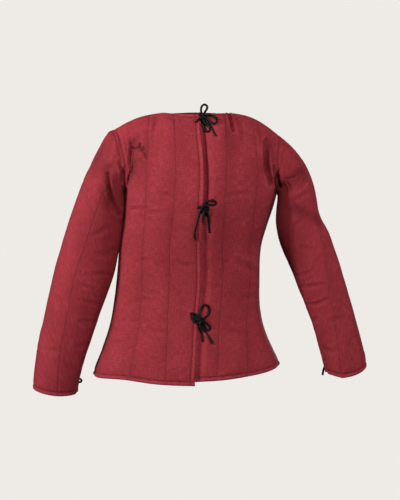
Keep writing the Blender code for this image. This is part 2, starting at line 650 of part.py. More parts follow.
class Panel:
    """A front or the back: its quilting lines, cut into columns. A height runs from the hem (0) by the underarm (1)
    to the top (2)."""

    def __init__(self, lines, facing, armholes, left_piece):
        self.lines = lines
        self.facing = facing
        self.armholes = armholes  # the armhole at the first and at the last column, or None at the centre front
        self.left_piece = left_piece
        self.sense = math.copysign(1, lines[-1].chest - lines[0].chest)
        self.paces = {}

    def column(self, place):
        """Quilting line, or a line between two, at a place counted in channels."""
        index = min(int(place), len(self.lines) - 2)
        first, second = np.array(self.lines[index]), np.array(self.lines[index + 1])
        return Line(*(first + (second - first) * (place - index)))

    def angle(self, column, z):
        """Angle of a column at a height."""
        z = min(max(z, LINE_HEM_Z), LINE_CHEST_Z)
        rows = ((LINE_HEM_Z, column.hem), (LINE_WAIST_Z, column.waist), (LINE_CHEST_Z, column.chest))
        return smooth(rows, z)[1]

    def lower_point(self, place, share):
        """Point between the hem and the underarm."""
        column = self.column(place)
        hem = hem_z(column.hem, self.left_piece)
        z = hem + (UNDERARM_Z - hem) * share
        return body_point(self.angle(column, z), z)

    def free_upper_point(self, place, share):
        """Point between the underarm and the top, as if there were no armhole."""
        column = self.column(place)
        start = body_point(column.chest, UNDERARM_Z)
        rise = body_point(column.chest, UNDERARM_Z + STEP) - body_point(column.chest, UNDERARM_Z - STEP)
        end = top_point(column.top_x, self.facing)
        reach = np.linalg.norm(end - start)
        outer = ease(abs(column.top_x - NECK_MID_X) / NECK_HALF_WIDTH)
        at_neck = np.array((0.0, -self.facing * NECK_LEAN, 1.0))
        at_shoulder = np.array((0.0, -self.facing, 0.0))
        end_slope = (at_neck * (1 - outer) + at_shoulder * outer) * reach
        return hermite(start, rise / (2 * STEP) * reach, end, end_slope, share)

    def pace(self, edge, armhole, share):
        """Share of the way up the panel's side at which the form is as high as its armhole is at a share of its own
        way, so that the rows of the grid stay level."""
        if (edge, share) not in self.paces:
            height = armhole_point(armhole, 180 + self.facing * 180 * share)[2]
            steps = np.linspace(0, 1, PACE_STEPS)
            heights = [self.free_upper_point(edge, step)[2] for step in steps]
            level = float(np.interp(height, np.maximum.accumulate(heights), steps))
            self.paces[edge, share] = level + (share - level) * ease((share - PACE_LEVEL) / (1 - PACE_LEVEL))
        return self.paces[edge, share]

    def upper_point(self, place, height_share):
        """Point between the underarm and the top, drawn to the armhole at the panel's side."""
        last = len(self.lines) - 1
        ends = [(edge, armhole) for edge, armhole in zip((0, last), self.armholes) if armhole is not None]
        paces = [self.pace(edge, armhole, height_share) for edge, armhole in ends]
        share = float(np.interp(place, [edge for edge, _ in ends], paces))
        point = self.free_upper_point(place, share)
        centre = 0 if self.facing < 0 else 180
        from_centre = abs(self.column(place).chest - centre) / 90
        pull = ease((from_centre - ARMHOLE_PULL) / (1 - ARMHOLE_PULL))
        if pull > 0:
            at_start = self.armholes[0] is not None and place < last / 2
            (edge, armhole), edge_share = (ends[0], paces[0]) if at_start else (ends[-1], paces[-1])
            seam_angle = 180 + self.facing * 180 * height_share
            level = ease(height_share / ARMHOLE_RISE)
            pull = pull * (level + (1 - level) * pull**3)
            point = point + (armhole_point(armhole, seam_angle) - self.free_upper_point(edge, edge_share)) * pull
        return point

    def point(self, place, height):
        """Point of the panel's form."""
        return self.lower_point(place, height) if height <= 1 else self.upper_point(place, height - 1)

    def facing_out(self, place, height):
        """Outward direction of the panel's form, as long as the form is stretched there."""
        edge = len(self.lines) - 1
        low_place, high_place = max(place - STEP, 0), min(place + STEP, edge)
        low_height, high_height = max(height - STEP, 0), min(height + STEP, 2)
        across = (self.point(high_place, height) - self.point(low_place, height)) / (high_place - low_place)
        up = (self.point(place, high_height) - self.point(place, low_height)) / (high_height - low_height)
        return np.cross(across, up) * self.sense

    def normals(self, places, heights):
        """Outward directions over a grid. They are settled against their neighbours above the underarm, where the
        armhole crowds the form, and follow the armholes' rims."""
        raw = np.array([[self.facing_out(place, height) for place in places] for height in heights])
        first = next(row for row, height in enumerate(heights) if height >= 1)
        for _ in range(SETTLING_ROUNDS):
            settled = raw.copy()
            settled[first:-1, 1:-1] += raw[first - 1 : -2, 1:-1] + raw[first + 1 :, 1:-1]
            settled[first:-1, 1:-1] += raw[first:-1, :-2] + raw[first:-1, 2:]
            settled[first:-1, 1:-1] /= 5
            raw = settled
        normals = raw / np.linalg.norm(raw, axis=-1, keepdims=True)
        for armhole, column, beside in zip(self.armholes, (0, -1), (1, -2)):
            if armhole is not None:
                for row in range(first + 1, len(heights)):
                    angle = 180 + self.facing * 180 * (heights[row] - 1)
                    normals[row, column] = armhole_rim(armhole, angle, normals[row, beside])
        return normals


# ---------------------------------------------------------------- sleeve surface
def ring_point(ring, angle):
    """Point of a sleeve's section, from its outer point (0) by the front (90) to its inner point (180)."""
    sine, cosine = math.sin(math.radians(angle)), math.cos(math.radians(angle))
    middle = np.array(((ring.outer_x + ring.inner_x) / 2, ring.middle_y, (ring.outer_z + ring.inner_z) / 2))
    outward = np.array(((ring.outer_x - ring.inner_x) / 2, 0, (ring.outer_z - ring.inner_z) / 2))
    forward = np.array((0, -ring.half_depth, -ring.front_drop))
    return middle + outward * cosine + forward * sine


def sleeve_point(armhole, rings, angle, place):
    """Point of a sleeve's form. The place runs from the armhole (0) to the cuff (the last ring's place)."""
    rows = [(0, *armhole_point(armhole, angle))]
    rows += [(ring.place, *ring_point(ring, angle)) for ring in rings]
    return smooth(rows, place)[1:]


def sleeve_normal(armhole, rings, angle, place, side):
    """Outward direction of a sleeve's form. side is -1 on the wearer's right and 1 on the left."""
    last = rings[-1].place
    around = sleeve_point(armhole, rings, angle + 1, place) - sleeve_point(armhole, rings, angle - 1, place)
    low, high = max(place - STEP, 0), min(place + STEP, last)
    down = sleeve_point(armhole, rings, angle, high) - sleeve_point(armhole, rings, angle, low)
    own = unit(np.cross(around, down)) * side
    return armhole_rim(armhole, angle, own) if place == 0 else own


# ---------------------------------------------------------------- meshes
def material(name, colour, roughness):
    """Plain material of one finish."""
    finish = bpy.data.materials.new(name)
    finish.use_nodes = True
    shader = finish.node_tree.nodes["Principled BSDF"]
    shader.inputs["Base Color"].default_value = (*colour, 1)
    shader.inputs["Roughness"].default_value = roughness
    return finish


def add_object(name, data, finish):
    """Object of a finished mesh or curve, in the scene."""
    piece = bpy.data.objects.new(name, data)
    bpy.context.scene.collection.objects.link(piece)
    data.materials.append(finish)
    return piece


def cloth_wall(name, points, normals, insets, recess, closed, finish, side_rims_down=False):
    """Closed wall from a grid of points on a garment's form, rows by columns. insets lower its outer face alone, and
    recess moves both faces in. A closed wall's last column meets its first. The rims of two walls that meet are split
    along the same diagonals, which side_rims_down sets for the rims along the first and last column."""
    outer = points - normals * (insets + recess)[..., None]
    inner = points - normals * (WALL + recess)[..., None]
    rows, columns = insets.shape
    form = bmesh.new()
    sides = [[[form.verts.new(point) for point in row] for row in face] for face in (outer, inner)]
    spans = columns if closed else columns - 1
    for row in range(rows - 1):
        for column in range(spans):
            right = (column + 1) % columns
            for side in sides:
                corners = (side[row][column], side[row][right], side[row + 1][right], side[row + 1][column])
                form.faces.new(corners)
    for row in (0, rows - 1):
        for column in range(spans):
            right = (column + 1) % columns
            edge = (sides[0][row][column], sides[0][row][right])
            form.faces.new((*edge, sides[1][row][right], sides[1][row][column]))
    if not closed:
        for column in (0, columns - 1):
            for row in range(rows - 1):
                first, second = (row + 1, row) if side_rims_down else (row, row + 1)
                edge = (sides[0][first][column], sides[0][second][column])
                form.faces.new((*edge, sides[1][second][column], sides[1][first][column]))
    bmesh.ops.recalc_face_normals(form, faces=form.faces)
    mesh = bpy.data.meshes.new(name)
    form.to_mesh(mesh)
    form.free()
    mesh.shade_smooth()
    mesh.set_sharp_from_angle(angle=math.radians(50))
    return add_object(name, mesh, finish)


def lap_depth(point, lap_edge):
    """How far the front under the lap lies in at a point. lap_edge is the lapping front's edge, from hem to neck."""
    past = point[0] - np.interp(point[2], lap_edge[:, 2], lap_edge[:, 0])
    return (WALL + LAP_GAP) * (1 - ease((past - LAP_LEVEL) / LAP_RAMP))


def panel_wall(name, panel, finish, first_columns=CHANNEL_COLUMNS, lap_edge=None):
    """One front or the back. Returns the points of its first column, from hem to top."""
    channels = len(panel.lines) - 1
    places = list(first_columns)
    for channel in range(1, channels):
        ends = sorted(abs(panel.lines[place].top_x - NECK_MID_X) for place in (channel, channel + 1))
        columns = NECK_CHANNEL_COLUMNS if ends[0] < NECK_HALF_WIDTH < ends[1] else CHANNEL_COLUMNS
        places += [channel + share for share in columns]
    places.append(channels)
    seam_rows = [2 - angle / 180 for angle in reversed(SEAM_ANGLES)]
    length = UNDERARM_Z - hem_z(0, panel.left_piece)
    hem_rows = [distance / length for distance in HEM_ROWS]
    body_rows = list(np.linspace(hem_rows[-1], 1, BODY_ROWS + 1)[1:-1])
    heights = hem_rows + body_rows + seam_rows
    points = np.array([[panel.point(place, height) for place in places] for height in heights])
    normals = panel.normals(places, heights)
    insets = np.zeros((len(heights), len(places)))
    for column, place in enumerate(places):
        for row, height in enumerate(heights):
            inset = channel_inset(place)
            if height < 1:
                inset = max(inset, edge_inset(height * length))
            if panel.armholes[0] is None and place < 1:
                span = np.linalg.norm(panel.point(0, height) - panel.point(1, height))
                inset = max(edge_inset(place * span), inset if place > 0.5 else 0)
            insets[row, column] = inset
    recess = fold_depths(points, normals, BODY_FOLDS)
    if lap_edge is not None:
        recess += np.array([[lap_depth(point, lap_edge) for point in row] for row in points])
    half_gap = SEAM_GAP / 2
    first_seam = len(hem_rows) + len(body_rows)
    for armhole, column in zip(panel.armholes, (0, -1)):
        if armhole is not None:
            recess[:, column] = 0
            insets[first_seam:, column] = SEAM_INSET
            points[:, column, 1] += panel.facing * half_gap
            points[first_seam:, column, 0] -= math.copysign(half_gap, armhole[0].x)
    on_shoulder = np.abs(points[-1, :, 0] - NECK_MID_X) >= NECK_HALF_WIDTH
    points[-1, on_shoulder, 1] += panel.facing * half_gap
    cloth_wall(name, points, normals, insets, recess, False, finish, side_rims_down=panel.facing < 0)
    return points[:, 0]


def slit_lift(above, angle):
    """How far the cuff's slit raises a point that lies above the cuff's edge."""
    share = max(1 - above / CUFF_ROWS[0], 0) * max(1 - abs(angle - SLIT_ANGLE) / SLIT_REACH, 0)
    return SLIT_HEIGHT * share


def sleeve_wall(name, armhole, rings, folds, side, finish):
    """One sleeve, a tube from its armhole to its cuff with a slit at the inner side."""
    last = rings[-1].place
    length = abs(rings[-1].outer_z - rings[-2].outer_z) / (rings[-1].place - rings[-2].place)
    cuff_rows = [last - distance / length for distance in CUFF_ROWS]
    places = list(np.linspace(0, cuff_rows[0], SLEEVE_ROWS + 1)[:-1]) + cuff_rows
    turns = [(0, 0)] + [(ring.place, ring.turn) for ring in rings]
    points, normals, insets = [], [], []
    for place in places:
        turn = smooth(turns, place)[1]
        angles = [angle + turn for angle in SLEEVE_ANGLES]
        above = (last - place) * length
        lifts = [slit_lift(above, angle) / length for angle in angles]
        lifted = [(angle, place - lift) for angle, lift in zip(angles, lifts)]
        points.append([sleeve_point(armhole, rings, angle, at) for angle, at in lifted])
        normals.append([sleeve_normal(armhole, rings, angle, at, side) for angle, at in lifted])
        edge = edge_inset(above)
        insets.append([SEAM_INSET if place == 0 else max(channel_inset(column), edge) for column in SLEEVE_COLUMNS])
    points, normals, insets = np.array(points), np.array(normals), np.array(insets)
    points[0, :, 0] += side * SEAM_GAP / 2
    recess = fold_depths(points, normals, folds)
    recess[0] = 0
    cloth_wall(name, points, normals, insets, recess, True, finish)


# ---------------------------------------------------------------- laces
def cord_route(points):
    """Evenly spaced points on the smooth curve through a cord's points."""
    rows = [(index, *point) for index, point in enumerate(points)]
    fine = np.array([smooth(rows, at)[1:] for at in np.linspace(0, len(rows) - 1, 20 * len(rows))])
    lengths = np.concatenate(([0], np.cumsum(np.linalg.norm(np.diff(fine, axis=0), axis=1))))
    steps = np.linspace(0, lengths[-1], max(round(lengths[-1] / CORD_STEP), 2) + 1)
    return [[np.interp(step, lengths, fine[:, axis]) for axis in range(3)] for step in steps]


def lace_cord(cord, finish):
    """Round cord with flat cut ends."""
    route = cord_route(cord.points)
    curve = bpy.data.curves.new(cord.name, "CURVE")
    curve.dimensions = "3D"
    curve.bevel_depth = CORD_DIAMETER / 2
    curve.bevel_resolution = 2
    curve.use_fill_caps = True
    spline = curve.splines.new("POLY")
    spline.points.add(len(route) - 1)
    for point, place in zip(spline.points, route):
        point.co = (*place, 1)
    return add_object(cord.name, curve, finish)


def lace_knot(knot, finish):
    """Knot of a bow."""
    form = bmesh.new()
    bmesh.ops.create_uvsphere(form, u_segments=KNOT_SEGMENTS, v_segments=KNOT_RINGS, radius=1)
    for vertex in form.verts:
        vertex.co = (
            knot.x + vertex.co.x * knot.half_x,
            knot.y + vertex.co.y * knot.half_y,
            knot.z + vertex.co.z * knot.half_z,
        )
    mesh = bpy.data.meshes.new(knot.name)
    form.to_mesh(mesh)
    form.free()
    mesh.shade_smooth()
    return add_object(knot.name, mesh, finish)


def build():
    """The whole garment."""
    for old in list(bpy.data.objects):
        bpy.data.objects.remove(old, do_unlink=True)
    cloth = material("wine_red_cotton", (0.27, 0.04, 0.05), 0.85)
    front_right = Panel(FRONT_RIGHT_LINES, -1, (None, ARMHOLE_RIGHT), False)
    front_left = Panel(FRONT_LEFT_LINES, -1, (None, ARMHOLE_LEFT), True)
    back = Panel(BACK_LINES, 1, (ARMHOLE_LEFT, ARMHOLE_RIGHT), False)
    lap_edge = panel_wall("front_right", front_right, cloth, EDGE_CHANNEL_COLUMNS)
    panel_wall("front_left", front_left, cloth, EDGE_CHANNEL_COLUMNS, lap_edge)
    panel_wall("back", back, cloth)
    sleeve_wall("sleeve_right", ARMHOLE_RIGHT, SLEEVE_RIGHT, SLEEVE_RIGHT_FOLDS, -1, cloth)
    sleeve_wall("sleeve_left", ARMHOLE_LEFT, SLEEVE_LEFT, SLEEVE_LEFT_FOLDS, 1, cloth)
    lace = material("black_lace", (0.008, 0.009, 0.008), 0.45)
    for cord in CORDS:
        lace_cord(cord, lace)
    for knot in KNOTS:
        lace_knot(knot, lace)


build()
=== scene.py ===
"""Quilted gambeson: a hip-length padded coat with set-in sleeves, closed by three laced bows, hung in a plain studio.

Metres, +Z up. The front faces -Y and the wearer's right side is at -X. Every cloth piece is a hollow wall whose outer
face carries the quilting, the folds and the turned edges, and whose inner face is plain.
"""

import logging
import math
from dataclasses import dataclass
from enum import Enum
from typing import NamedTuple, Optional, Sequence

import bmesh
import bpy
import numpy as np
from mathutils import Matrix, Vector


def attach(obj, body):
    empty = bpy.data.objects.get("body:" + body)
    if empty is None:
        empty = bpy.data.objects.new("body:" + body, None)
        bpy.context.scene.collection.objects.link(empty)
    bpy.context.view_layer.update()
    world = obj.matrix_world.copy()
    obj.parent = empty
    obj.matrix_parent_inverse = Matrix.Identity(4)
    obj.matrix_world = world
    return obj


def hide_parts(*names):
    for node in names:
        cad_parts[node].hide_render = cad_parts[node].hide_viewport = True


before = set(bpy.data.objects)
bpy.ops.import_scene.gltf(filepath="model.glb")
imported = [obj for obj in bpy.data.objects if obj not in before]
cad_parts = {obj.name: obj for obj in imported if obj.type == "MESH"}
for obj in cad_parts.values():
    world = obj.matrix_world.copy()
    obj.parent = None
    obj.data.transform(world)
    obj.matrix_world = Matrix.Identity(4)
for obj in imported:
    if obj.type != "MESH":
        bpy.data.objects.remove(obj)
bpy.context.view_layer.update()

LOG = logging.getLogger("gambeson")
Array = np.ndarray


class Facing(Enum):
    """Side of the body that a piece is on, as the sign of its Y."""

    FRONT = -1
    BACK = 1


class Arm(Enum):
    """Wearer's arm, as the sign of its X."""

    RIGHT = -1
    LEFT = 1


class FarEnd(Enum):
    """What a run of lace ends in."""

    BARE = "bare"
    KNOT = "knot"
    CLOTH = "object"


# ---------------------------------------------------------------- cloth
WALL = 0.0060  # through the middle of a padded channel
QUILT_DEPTH = 0.0012  # how far a quilting line pulls the outer face in
GROOVE_DEPTH = 0.0006  # of the narrow groove that its thread lies in
GROOVE_WIDTH = 0.0013
FULLNESS = 0.75  # below 1 makes a channel round up quickly beside its stitching
PUCKER_LENGTH = 0.011
PUCKER_DEPTH = 0.00035
PUCKER_START = 0.0012  # from a quilting line to where its puckers begin
PUCKER_REACH = 0.007  # from the line to where they end
PUCKER_SLANT = 0.9  # how far they run up the cloth for each metre away from the line
PUCKER_DRIFT = 0.03  # length over which they shift along the line
PUCKER_PATCH = 0.05  # length over which they grow and fade
SWELL_DEPTH, SWELL_SIZE = 0.0009, 0.055
LUMP_DEPTH, LUMP_SIZE = 0.0004, 0.023
RIPPLE_DEPTH = 0.0007
RIPPLE_SIZE = 0.0085
RIPPLE_SQUEEZE = 0.28  # makes a ripple longer across the cloth than along it
RIPPLE_PATCH = 0.045  # size of the places that have ripples
RIPPLE_CLEAR = 0.006  # from a quilting line, without ripples
EVEN_EDGE = 0.016  # from a piece's ends and sides, without swells, lumps and ripples
TOP_EASE = 0.7  # share of the quilting's depth that is lost at a shoulder seam
TOP_EASE_LENGTH = 0.060  # and how far down from it
SHOULDER_SEAM_EASE = 0.006
NECK_AWAY = 0.02  # added at the neck to the distance from the shoulder seam, which isn't there
PLAIN_EDGE = 0.45  # share of a front's first channel, from its turned edge, that has no quilting
TOPSTITCH = 0.0090  # from a turned edge to its stitching
# Tone of the cloth's inner face: painted shade, near the darkest colour, standing in for the shade inside the garment
INSIDE_PAINTED_SHADE = 0.05
SEAM_GAP = 0.0003
SEAM_INSET = 0.0008  # of the outer face along a seam
SEAM_WIDTH = 0.0022
SEAM_EASE = 0.010  # how far from a seam the quilting is shallower
LAP_GAP = 0.0020  # between the lapping front and the one under it
STEP = 1e-4  # for slopes

# Distances of the mesh's lines from a quilting line, a turned edge and an armhole seam, where the cloth bends most
NEAR_LINE = (0.0, 0.0008, 0.0017, 0.0030, 0.0050, 0.0080, 0.0115)
NEAR_EDGE = (
    0.0, 0.0003, 0.0009, 0.0020, 0.0036, 0.0054, 0.0070, 0.0081, 0.0090, 0.0099, 0.0110, 0.0130, 0.0160, 0.0200,
)
NEAR_SEAM = (0.0, 0.0010, 0.0024, 0.0042, 0.0064, 0.0080, 0.0090, 0.0100, 0.0115, 0.0130, 0.0145, 0.0165, 0.0200)
FIRST_COLUMNS = (0.0, 0.06, 0.13, 0.24, 0.50, 0.88)  # where a front's outward directions are settled, from its edge
SEAM_HEIGHTS = (0.0, 0.08, 0.14, 0.20, 0.28, 0.36, 0.44, 0.52, 0.60, 0.68, 0.76, 0.84, 0.92, 1.0)
SIDE_FULLNESS = 0.0050  # of the back, just behind the side seams
FULLNESS_AT, FULLNESS_SPREAD = 12.0, 9.0  # degrees behind the side seam
SIDE_LINE_TOP = 0.070  # from the shoulder to the top of the quilting line nearest the armhole
SIDE_LINE_EASE, SIDE_LINE_WIDTH = 0.9, 0.35  # share of its depth that it loses there, and share of a channel
LACE_REST = 0.0024  # from the middle line of a lace to the cloth that it rests on
DENT_LIMIT = 0.0042
DENT_WIDTH = 0.0045
DENT_STEPS = 6  # places where a lace presses, for each of its points
RIM_LEAN = 0.65  # sideways share of a rim's direction at the front and the back of an armhole
RIM_LEANS_FROM = 75  # degrees from the shoulder, by which a rim leans fully
RIM_FADE = 0.72  # places along a sleeve over which its rim's direction gives way to its own
RIM_ROUND, RIM_PINCH = 0.004, 0.0016  # reach and depth of an open edge's rounding on the inner face
UNDERARM_WIDTH = 0.006  # from the seam at the underarm, where there is no quilting
UNDERARM_RISE = 0.22  # share of a panel's upper half
UNDERARM_ANGLE = 40.0  # degrees round a sleeve
PANEL_SEAM_QUIET, SLEEVE_SEAM_QUIET = 0.0035, 0.0040  # from a seam, over which folds fade
SEAM_STITCH_DEPTH, SEAM_STITCH_WIDTH = 0.0010, 0.0015  # of the groove beside an armhole seam
BESIDE_BODY_ANGLE = 30.0  # degrees either side of a sleeve's inner side, where it lies against the body
BESIDE_BODY_END, BESIDE_BODY_FADE = 8, 3  # places along the sleeve to where it does, and over which it leaves it

# Painted shade: how much darker stitching and folds make the cloth's colour, and how deep they are there
LINE_PAINTED_SHADE, LINE_PAINTED_SHADE_DEPTH, LINE_PAINTED_SHADE_POWER = 0.36, 0.0022, 1.3
FOLD_PAINTED_SHADE, FOLD_PAINTED_SHADE_DEPTH = 0.35, 0.004
# How much paler it is along open edges, by wear, and beside folds, by painted highlight on raised cloth, and where
EDGE_WEAR, EDGE_WEAR_AT, EDGE_WEAR_WIDTH = 0.22, 0.0035, 0.0028
CREST_PAINTED_HIGHLIGHT, CREST_PAINTED_HIGHLIGHT_HEIGHT = 0.20, 0.0012


class Roll(NamedTuple):
    """Depth of the outer face at a distance from a turned and topstitched edge."""

    distance: float
    inset: float


EDGE_ROLL = (
    Roll(0, 0.0026),
    Roll(0.0003, 0.0017),
    Roll(0.0009, 0.0009),
    Roll(0.002, 0.0004),
    Roll(0.004, 0.0001),
    Roll(0.0058, 0.0002),
    Roll(0.0072, 0.0008),
    Roll(0.0082, 0.0017),
    Roll(0.009, 0.0022),
    Roll(0.0098, 0.0017),
    Roll(0.011, 0.001),
    Roll(0.0135, 0.0005),
    Roll(0.018, 0.0002),
    Roll(0.026, 0),
)


# ---------------------------------------------------------------- body
class Level(NamedTuple):
    """Outline of the body at one height."""

    z: float
    right_x: float
    left_x: float
    front_y: float
    back_y: float


LEVELS = (
    Level(-0.66, -0.2555, 0.2215, -0.14, 0.152),
    Level(-0.615, -0.2425, 0.2055, -0.134, 0.147),
    Level(-0.571, -0.2255, 0.1845, -0.126, 0.14),
    Level(-0.523, -0.2085, 0.1635, -0.117, 0.129),
    Level(-0.475, -0.1985, 0.1525, -0.11, 0.117),
    Level(-0.406, -0.1895, 0.1505, -0.106, 0.104),
    Level(-0.331, -0.1834, 0.1535, -0.112, 0.104),
    Level(-0.283, -0.1776, 0.1655, -0.119, 0.11),
    Level(-0.226, -0.1724, 0.1845, -0.123, 0.117),
    Level(-0.19, -0.1712, 0.1935, -0.12, 0.119),
    Level(-0.15, -0.168, 0.1955, -0.113, 0.117),
)
SIDE_Y = 0.004  # side seams
UNDERARM_Z = -0.190
SQUARENESS = 0.92  # power of the outline's width and depth: 1 is an ellipse, less has fuller corners


class Hem(NamedTuple):
    """Height of the hem at an angle round the body, from the centre front towards the wearer's left."""

    angle: float
    z: float


HEM_RIGHT = (
    Hem(-180, -0.641),
    Hem(-130, -0.641),
    Hem(-90, -0.629),
    Hem(-70, -0.634),
    Hem(-40, -0.636),
    Hem(-15, -0.646),
    Hem(10, -0.65),
)
HEM_LEFT = (
    Hem(-15, -0.64),
    Hem(15, -0.637),
    Hem(40, -0.626),
    Hem(70, -0.611),
    Hem(90, -0.601),
    Hem(130, -0.63),
    Hem(180, -0.641),
)


# ---------------------------------------------------------------- neck and shoulders
NECK_MID_X = -0.002
NECK_HALF_WIDTH = 0.082
NECK_SIDE_Y = 0.003
NECK_SIDE_Z = -0.002
NECK_FRONT_Y = -0.062
NECK_FRONT_Z = -0.008
NECK_BACK_Y = 0.062
NECK_BACK_Z = 0.004
NECK_LEAN = 0.50  # how far the cloth leans inwards at the neck, per metre of height
NECK_BLEND = 0.004  # either side of the neck's ends, where the neck's edge turns into the shoulder seam


class Shoulder(NamedTuple):
    """End of one shoulder seam, and how far the seam bows up between neck and end."""

    tip_x: float
    tip_y: float
    tip_z: float
    bow: float


SHOULDER_RIGHT = Shoulder(tip_x=-0.195, tip_y=0.002, tip_z=-0.041, bow=0.008)
SHOULDER_LEFT = Shoulder(tip_x=0.1975, tip_y=0.002, tip_z=-0.055, bow=0.013)


class Armhole(NamedTuple):
    """Point of an armhole seam. The angle runs from the shoulder (0) by the front (90) to the underarm (180)."""

    angle: float
    x: float
    y: float
    z: float


ARMHOLE_RIGHT = (
    Armhole(0, -0.195, 0.002, -0.041),
    Armhole(36, -0.184, -0.026, -0.06),
    Armhole(72, -0.175, -0.048, -0.094),
    Armhole(108, -0.167, -0.056, -0.132),
    Armhole(144, -0.1685, -0.04, -0.167),
    Armhole(180, -0.1712, 0.004, -0.19),
    Armhole(216, -0.1715, 0.048, -0.17),
    Armhole(252, -0.172, 0.064, -0.134),
    Armhole(288, -0.176, 0.056, -0.094),
    Armhole(324, -0.186, 0.032, -0.06),
    Armhole(360, -0.195, 0.002, -0.041),
)
ARMHOLE_LEFT = (
    Armhole(0, 0.1975, 0.002, -0.055),
    Armhole(36, 0.197, -0.026, -0.077),
    Armhole(72, 0.195, -0.047, -0.106),
    Armhole(108, 0.192, -0.055, -0.14),
    Armhole(144, 0.189, -0.04, -0.171),
    Armhole(180, 0.1935, 0.004, -0.19),
    Armhole(216, 0.187, 0.048, -0.172),
    Armhole(252, 0.188, 0.063, -0.14),
    Armhole(288, 0.194, 0.055, -0.108),
    Armhole(324, 0.197, 0.032, -0.078),
    Armhole(360, 0.1975, 0.002, -0.055),
)
ARMHOLE_PULL = 0.40  # share of a panel's width, from its middle, that the armhole doesn't reshape
RIM_SHARED_TO = 118  # degrees from the shoulder, down to which both walls at an armhole share a rim direction
RIM_OWN_FROM = 158
SETTLING_ROUNDS = 3
PACE_STEPS = 200
PACE_LEVEL = 0.60  # share of the armhole's height up to which the rows of a panel's grid stay level with it
ARMHOLE_RISE = 0.50  # share of the armhole's height over which its pull grows


# ---------------------------------------------------------------- quilting
class Line(NamedTuple):
    """A quilting line or an edge of a panel: its angle round the body at three heights, and its x at the top."""

    hem: float
    waist: float
    chest: float
    top_x: float


FRONT_RIGHT_LINES = (
    Line(3, 9, 1.8, 0.008),
    Line(-11.8, -12.8, -17.4, -0.052),
    Line(-35, -37.5, -43.5, -0.113),
    Line(-70, -78, -79, -0.171),
    Line(-90, -90, -90, -0.195),
)
FRONT_LEFT_LINES = (
    Line(-5, -4, -7, -0.026),
    Line(15.5, 27.4, 17.2, 0.069),
    Line(34.8, 60.1, 45.2, 0.133),
    Line(68, 79, 78, 0.177),
    Line(90, 90, 90, 0.1975),
)
BACK_LINES = (
    Line(90, 90, 90, 0.1975),
    Line(112, 112, 112, 0.16),
    Line(135, 134, 135, 0.113),
    Line(158, 157, 158, 0.05),
    Line(180, 180, 180, -0.002),
    Line(202, 203, 202, -0.054),
    Line(225, 226, 225, -0.116),
    Line(248, 248, 248, -0.16),
    Line(270, 270, 270, -0.195),
)
LINE_HEM_Z = -0.629
LINE_WAIST_Z = -0.406
LINE_CHEST_Z = -0.200
LAP_LEVEL = 0.0045  # how far past the lap's edge the front under it stays down
LAP_RAMP = 0.022  # and then takes to come level


# ---------------------------------------------------------------- sleeves
class Ring(NamedTuple):
    """Section of a sleeve: its outer and inner points seen from the front, its middle and half depth along Y,
    how much lower its front is than its sides, and how far the quilting lines have turned round the arm."""

    place: float
    outer_x: float
    outer_z: float
    inner_x: float
    inner_z: float
    middle_y: float
    half_depth: float
    front_drop: float
    turn: float


SLEEVE_RIGHT = (
    Ring(1, -0.2115, -0.05, -0.1722, -0.198, 0.003, 0.062, 0, 0),
    Ring(2, -0.2335, -0.086, -0.1722, -0.208, 0.003, 0.062, 0, -6),
    Ring(3, -0.2515, -0.121, -0.1724, -0.221, 0.003, 0.062, 0, -12),
    Ring(4, -0.2675, -0.156, -0.1729, -0.238, 0.003, 0.061, 0, -18),
    Ring(5, -0.2825, -0.195, -0.1751, -0.26, 0.003, 0.06, 0, -21),
    Ring(6, -0.2975, -0.237, -0.1776, -0.286, 0.003, 0.059, 0, -23),
    Ring(7, -0.3125, -0.283, -0.1814, -0.315, 0.003, 0.058, 0, -25),
    Ring(8, -0.3255, -0.328, -0.1884, -0.352, 0.002, 0.057, 0, -27),
    Ring(9, -0.3365, -0.366, -0.197, -0.391, 0, 0.056, 0.002, -31),
    Ring(10, -0.3475, -0.412, -0.214, -0.439, -0.003, 0.054, 0.003, -30),
    Ring(11, -0.3585, -0.461, -0.231, -0.487, -0.006, 0.052, 0.004, -25),
    Ring(12, -0.3705, -0.515, -0.248, -0.538, -0.009, 0.049, 0.005, -22),
    Ring(13, -0.3805, -0.568, -0.265, -0.588, -0.012, 0.046, 0.007, -18),
    Ring(14, -0.3875, -0.62, -0.277, -0.635, -0.014, 0.044, 0.009, -12),
    Ring(15, -0.391, -0.66, -0.282, -0.672, -0.015, 0.043, 0.012, -10),
)
SLEEVE_LEFT = (
    Ring(1, 0.2155, -0.069, 0.1945, -0.198, 0.003, 0.06, 0, 0),
    Ring(2, 0.2345, -0.087, 0.1955, -0.208, 0.003, 0.06, 0, 0),
    Ring(3, 0.2535, -0.111, 0.1945, -0.219, 0.003, 0.06, 0, 0),
    Ring(4, 0.2695, -0.138, 0.193, -0.233, 0.003, 0.06, 0, 0),
    Ring(5, 0.2815, -0.172, 0.192, -0.249, 0.003, 0.06, 0, 0),
    Ring(6, 0.2895, -0.207, 0.192, -0.267, 0.003, 0.06, 0, 0),
    Ring(7, 0.2985, -0.25, 0.195, -0.288, 0.002, 0.06, 0, 0),
    Ring(8, 0.319, -0.291, 0.204, -0.325, 0.001, 0.06, 0.002, 12),
    Ring(9, 0.338, -0.341, 0.221, -0.374, -0.001, 0.059, 0.004, 26),
    Ring(10, 0.352, -0.385, 0.238, -0.418, -0.003, 0.057, 0.006, 35),
    Ring(11, 0.365, -0.431, 0.257, -0.464, -0.006, 0.054, 0.008, 44),
    Ring(12, 0.38, -0.484, 0.277, -0.516, -0.009, 0.051, 0.01, 53),
    Ring(13, 0.392, -0.53, 0.291, -0.56, -0.012, 0.048, 0.013, 60),
    Ring(14, 0.403, -0.575, 0.302, -0.6, -0.014, 0.045, 0.016, 66),
    Ring(15, 0.409, -0.607, 0.308, -0.625, -0.015, 0.043, 0.018, 68),
)
SLEEVE_CHANNELS = 5
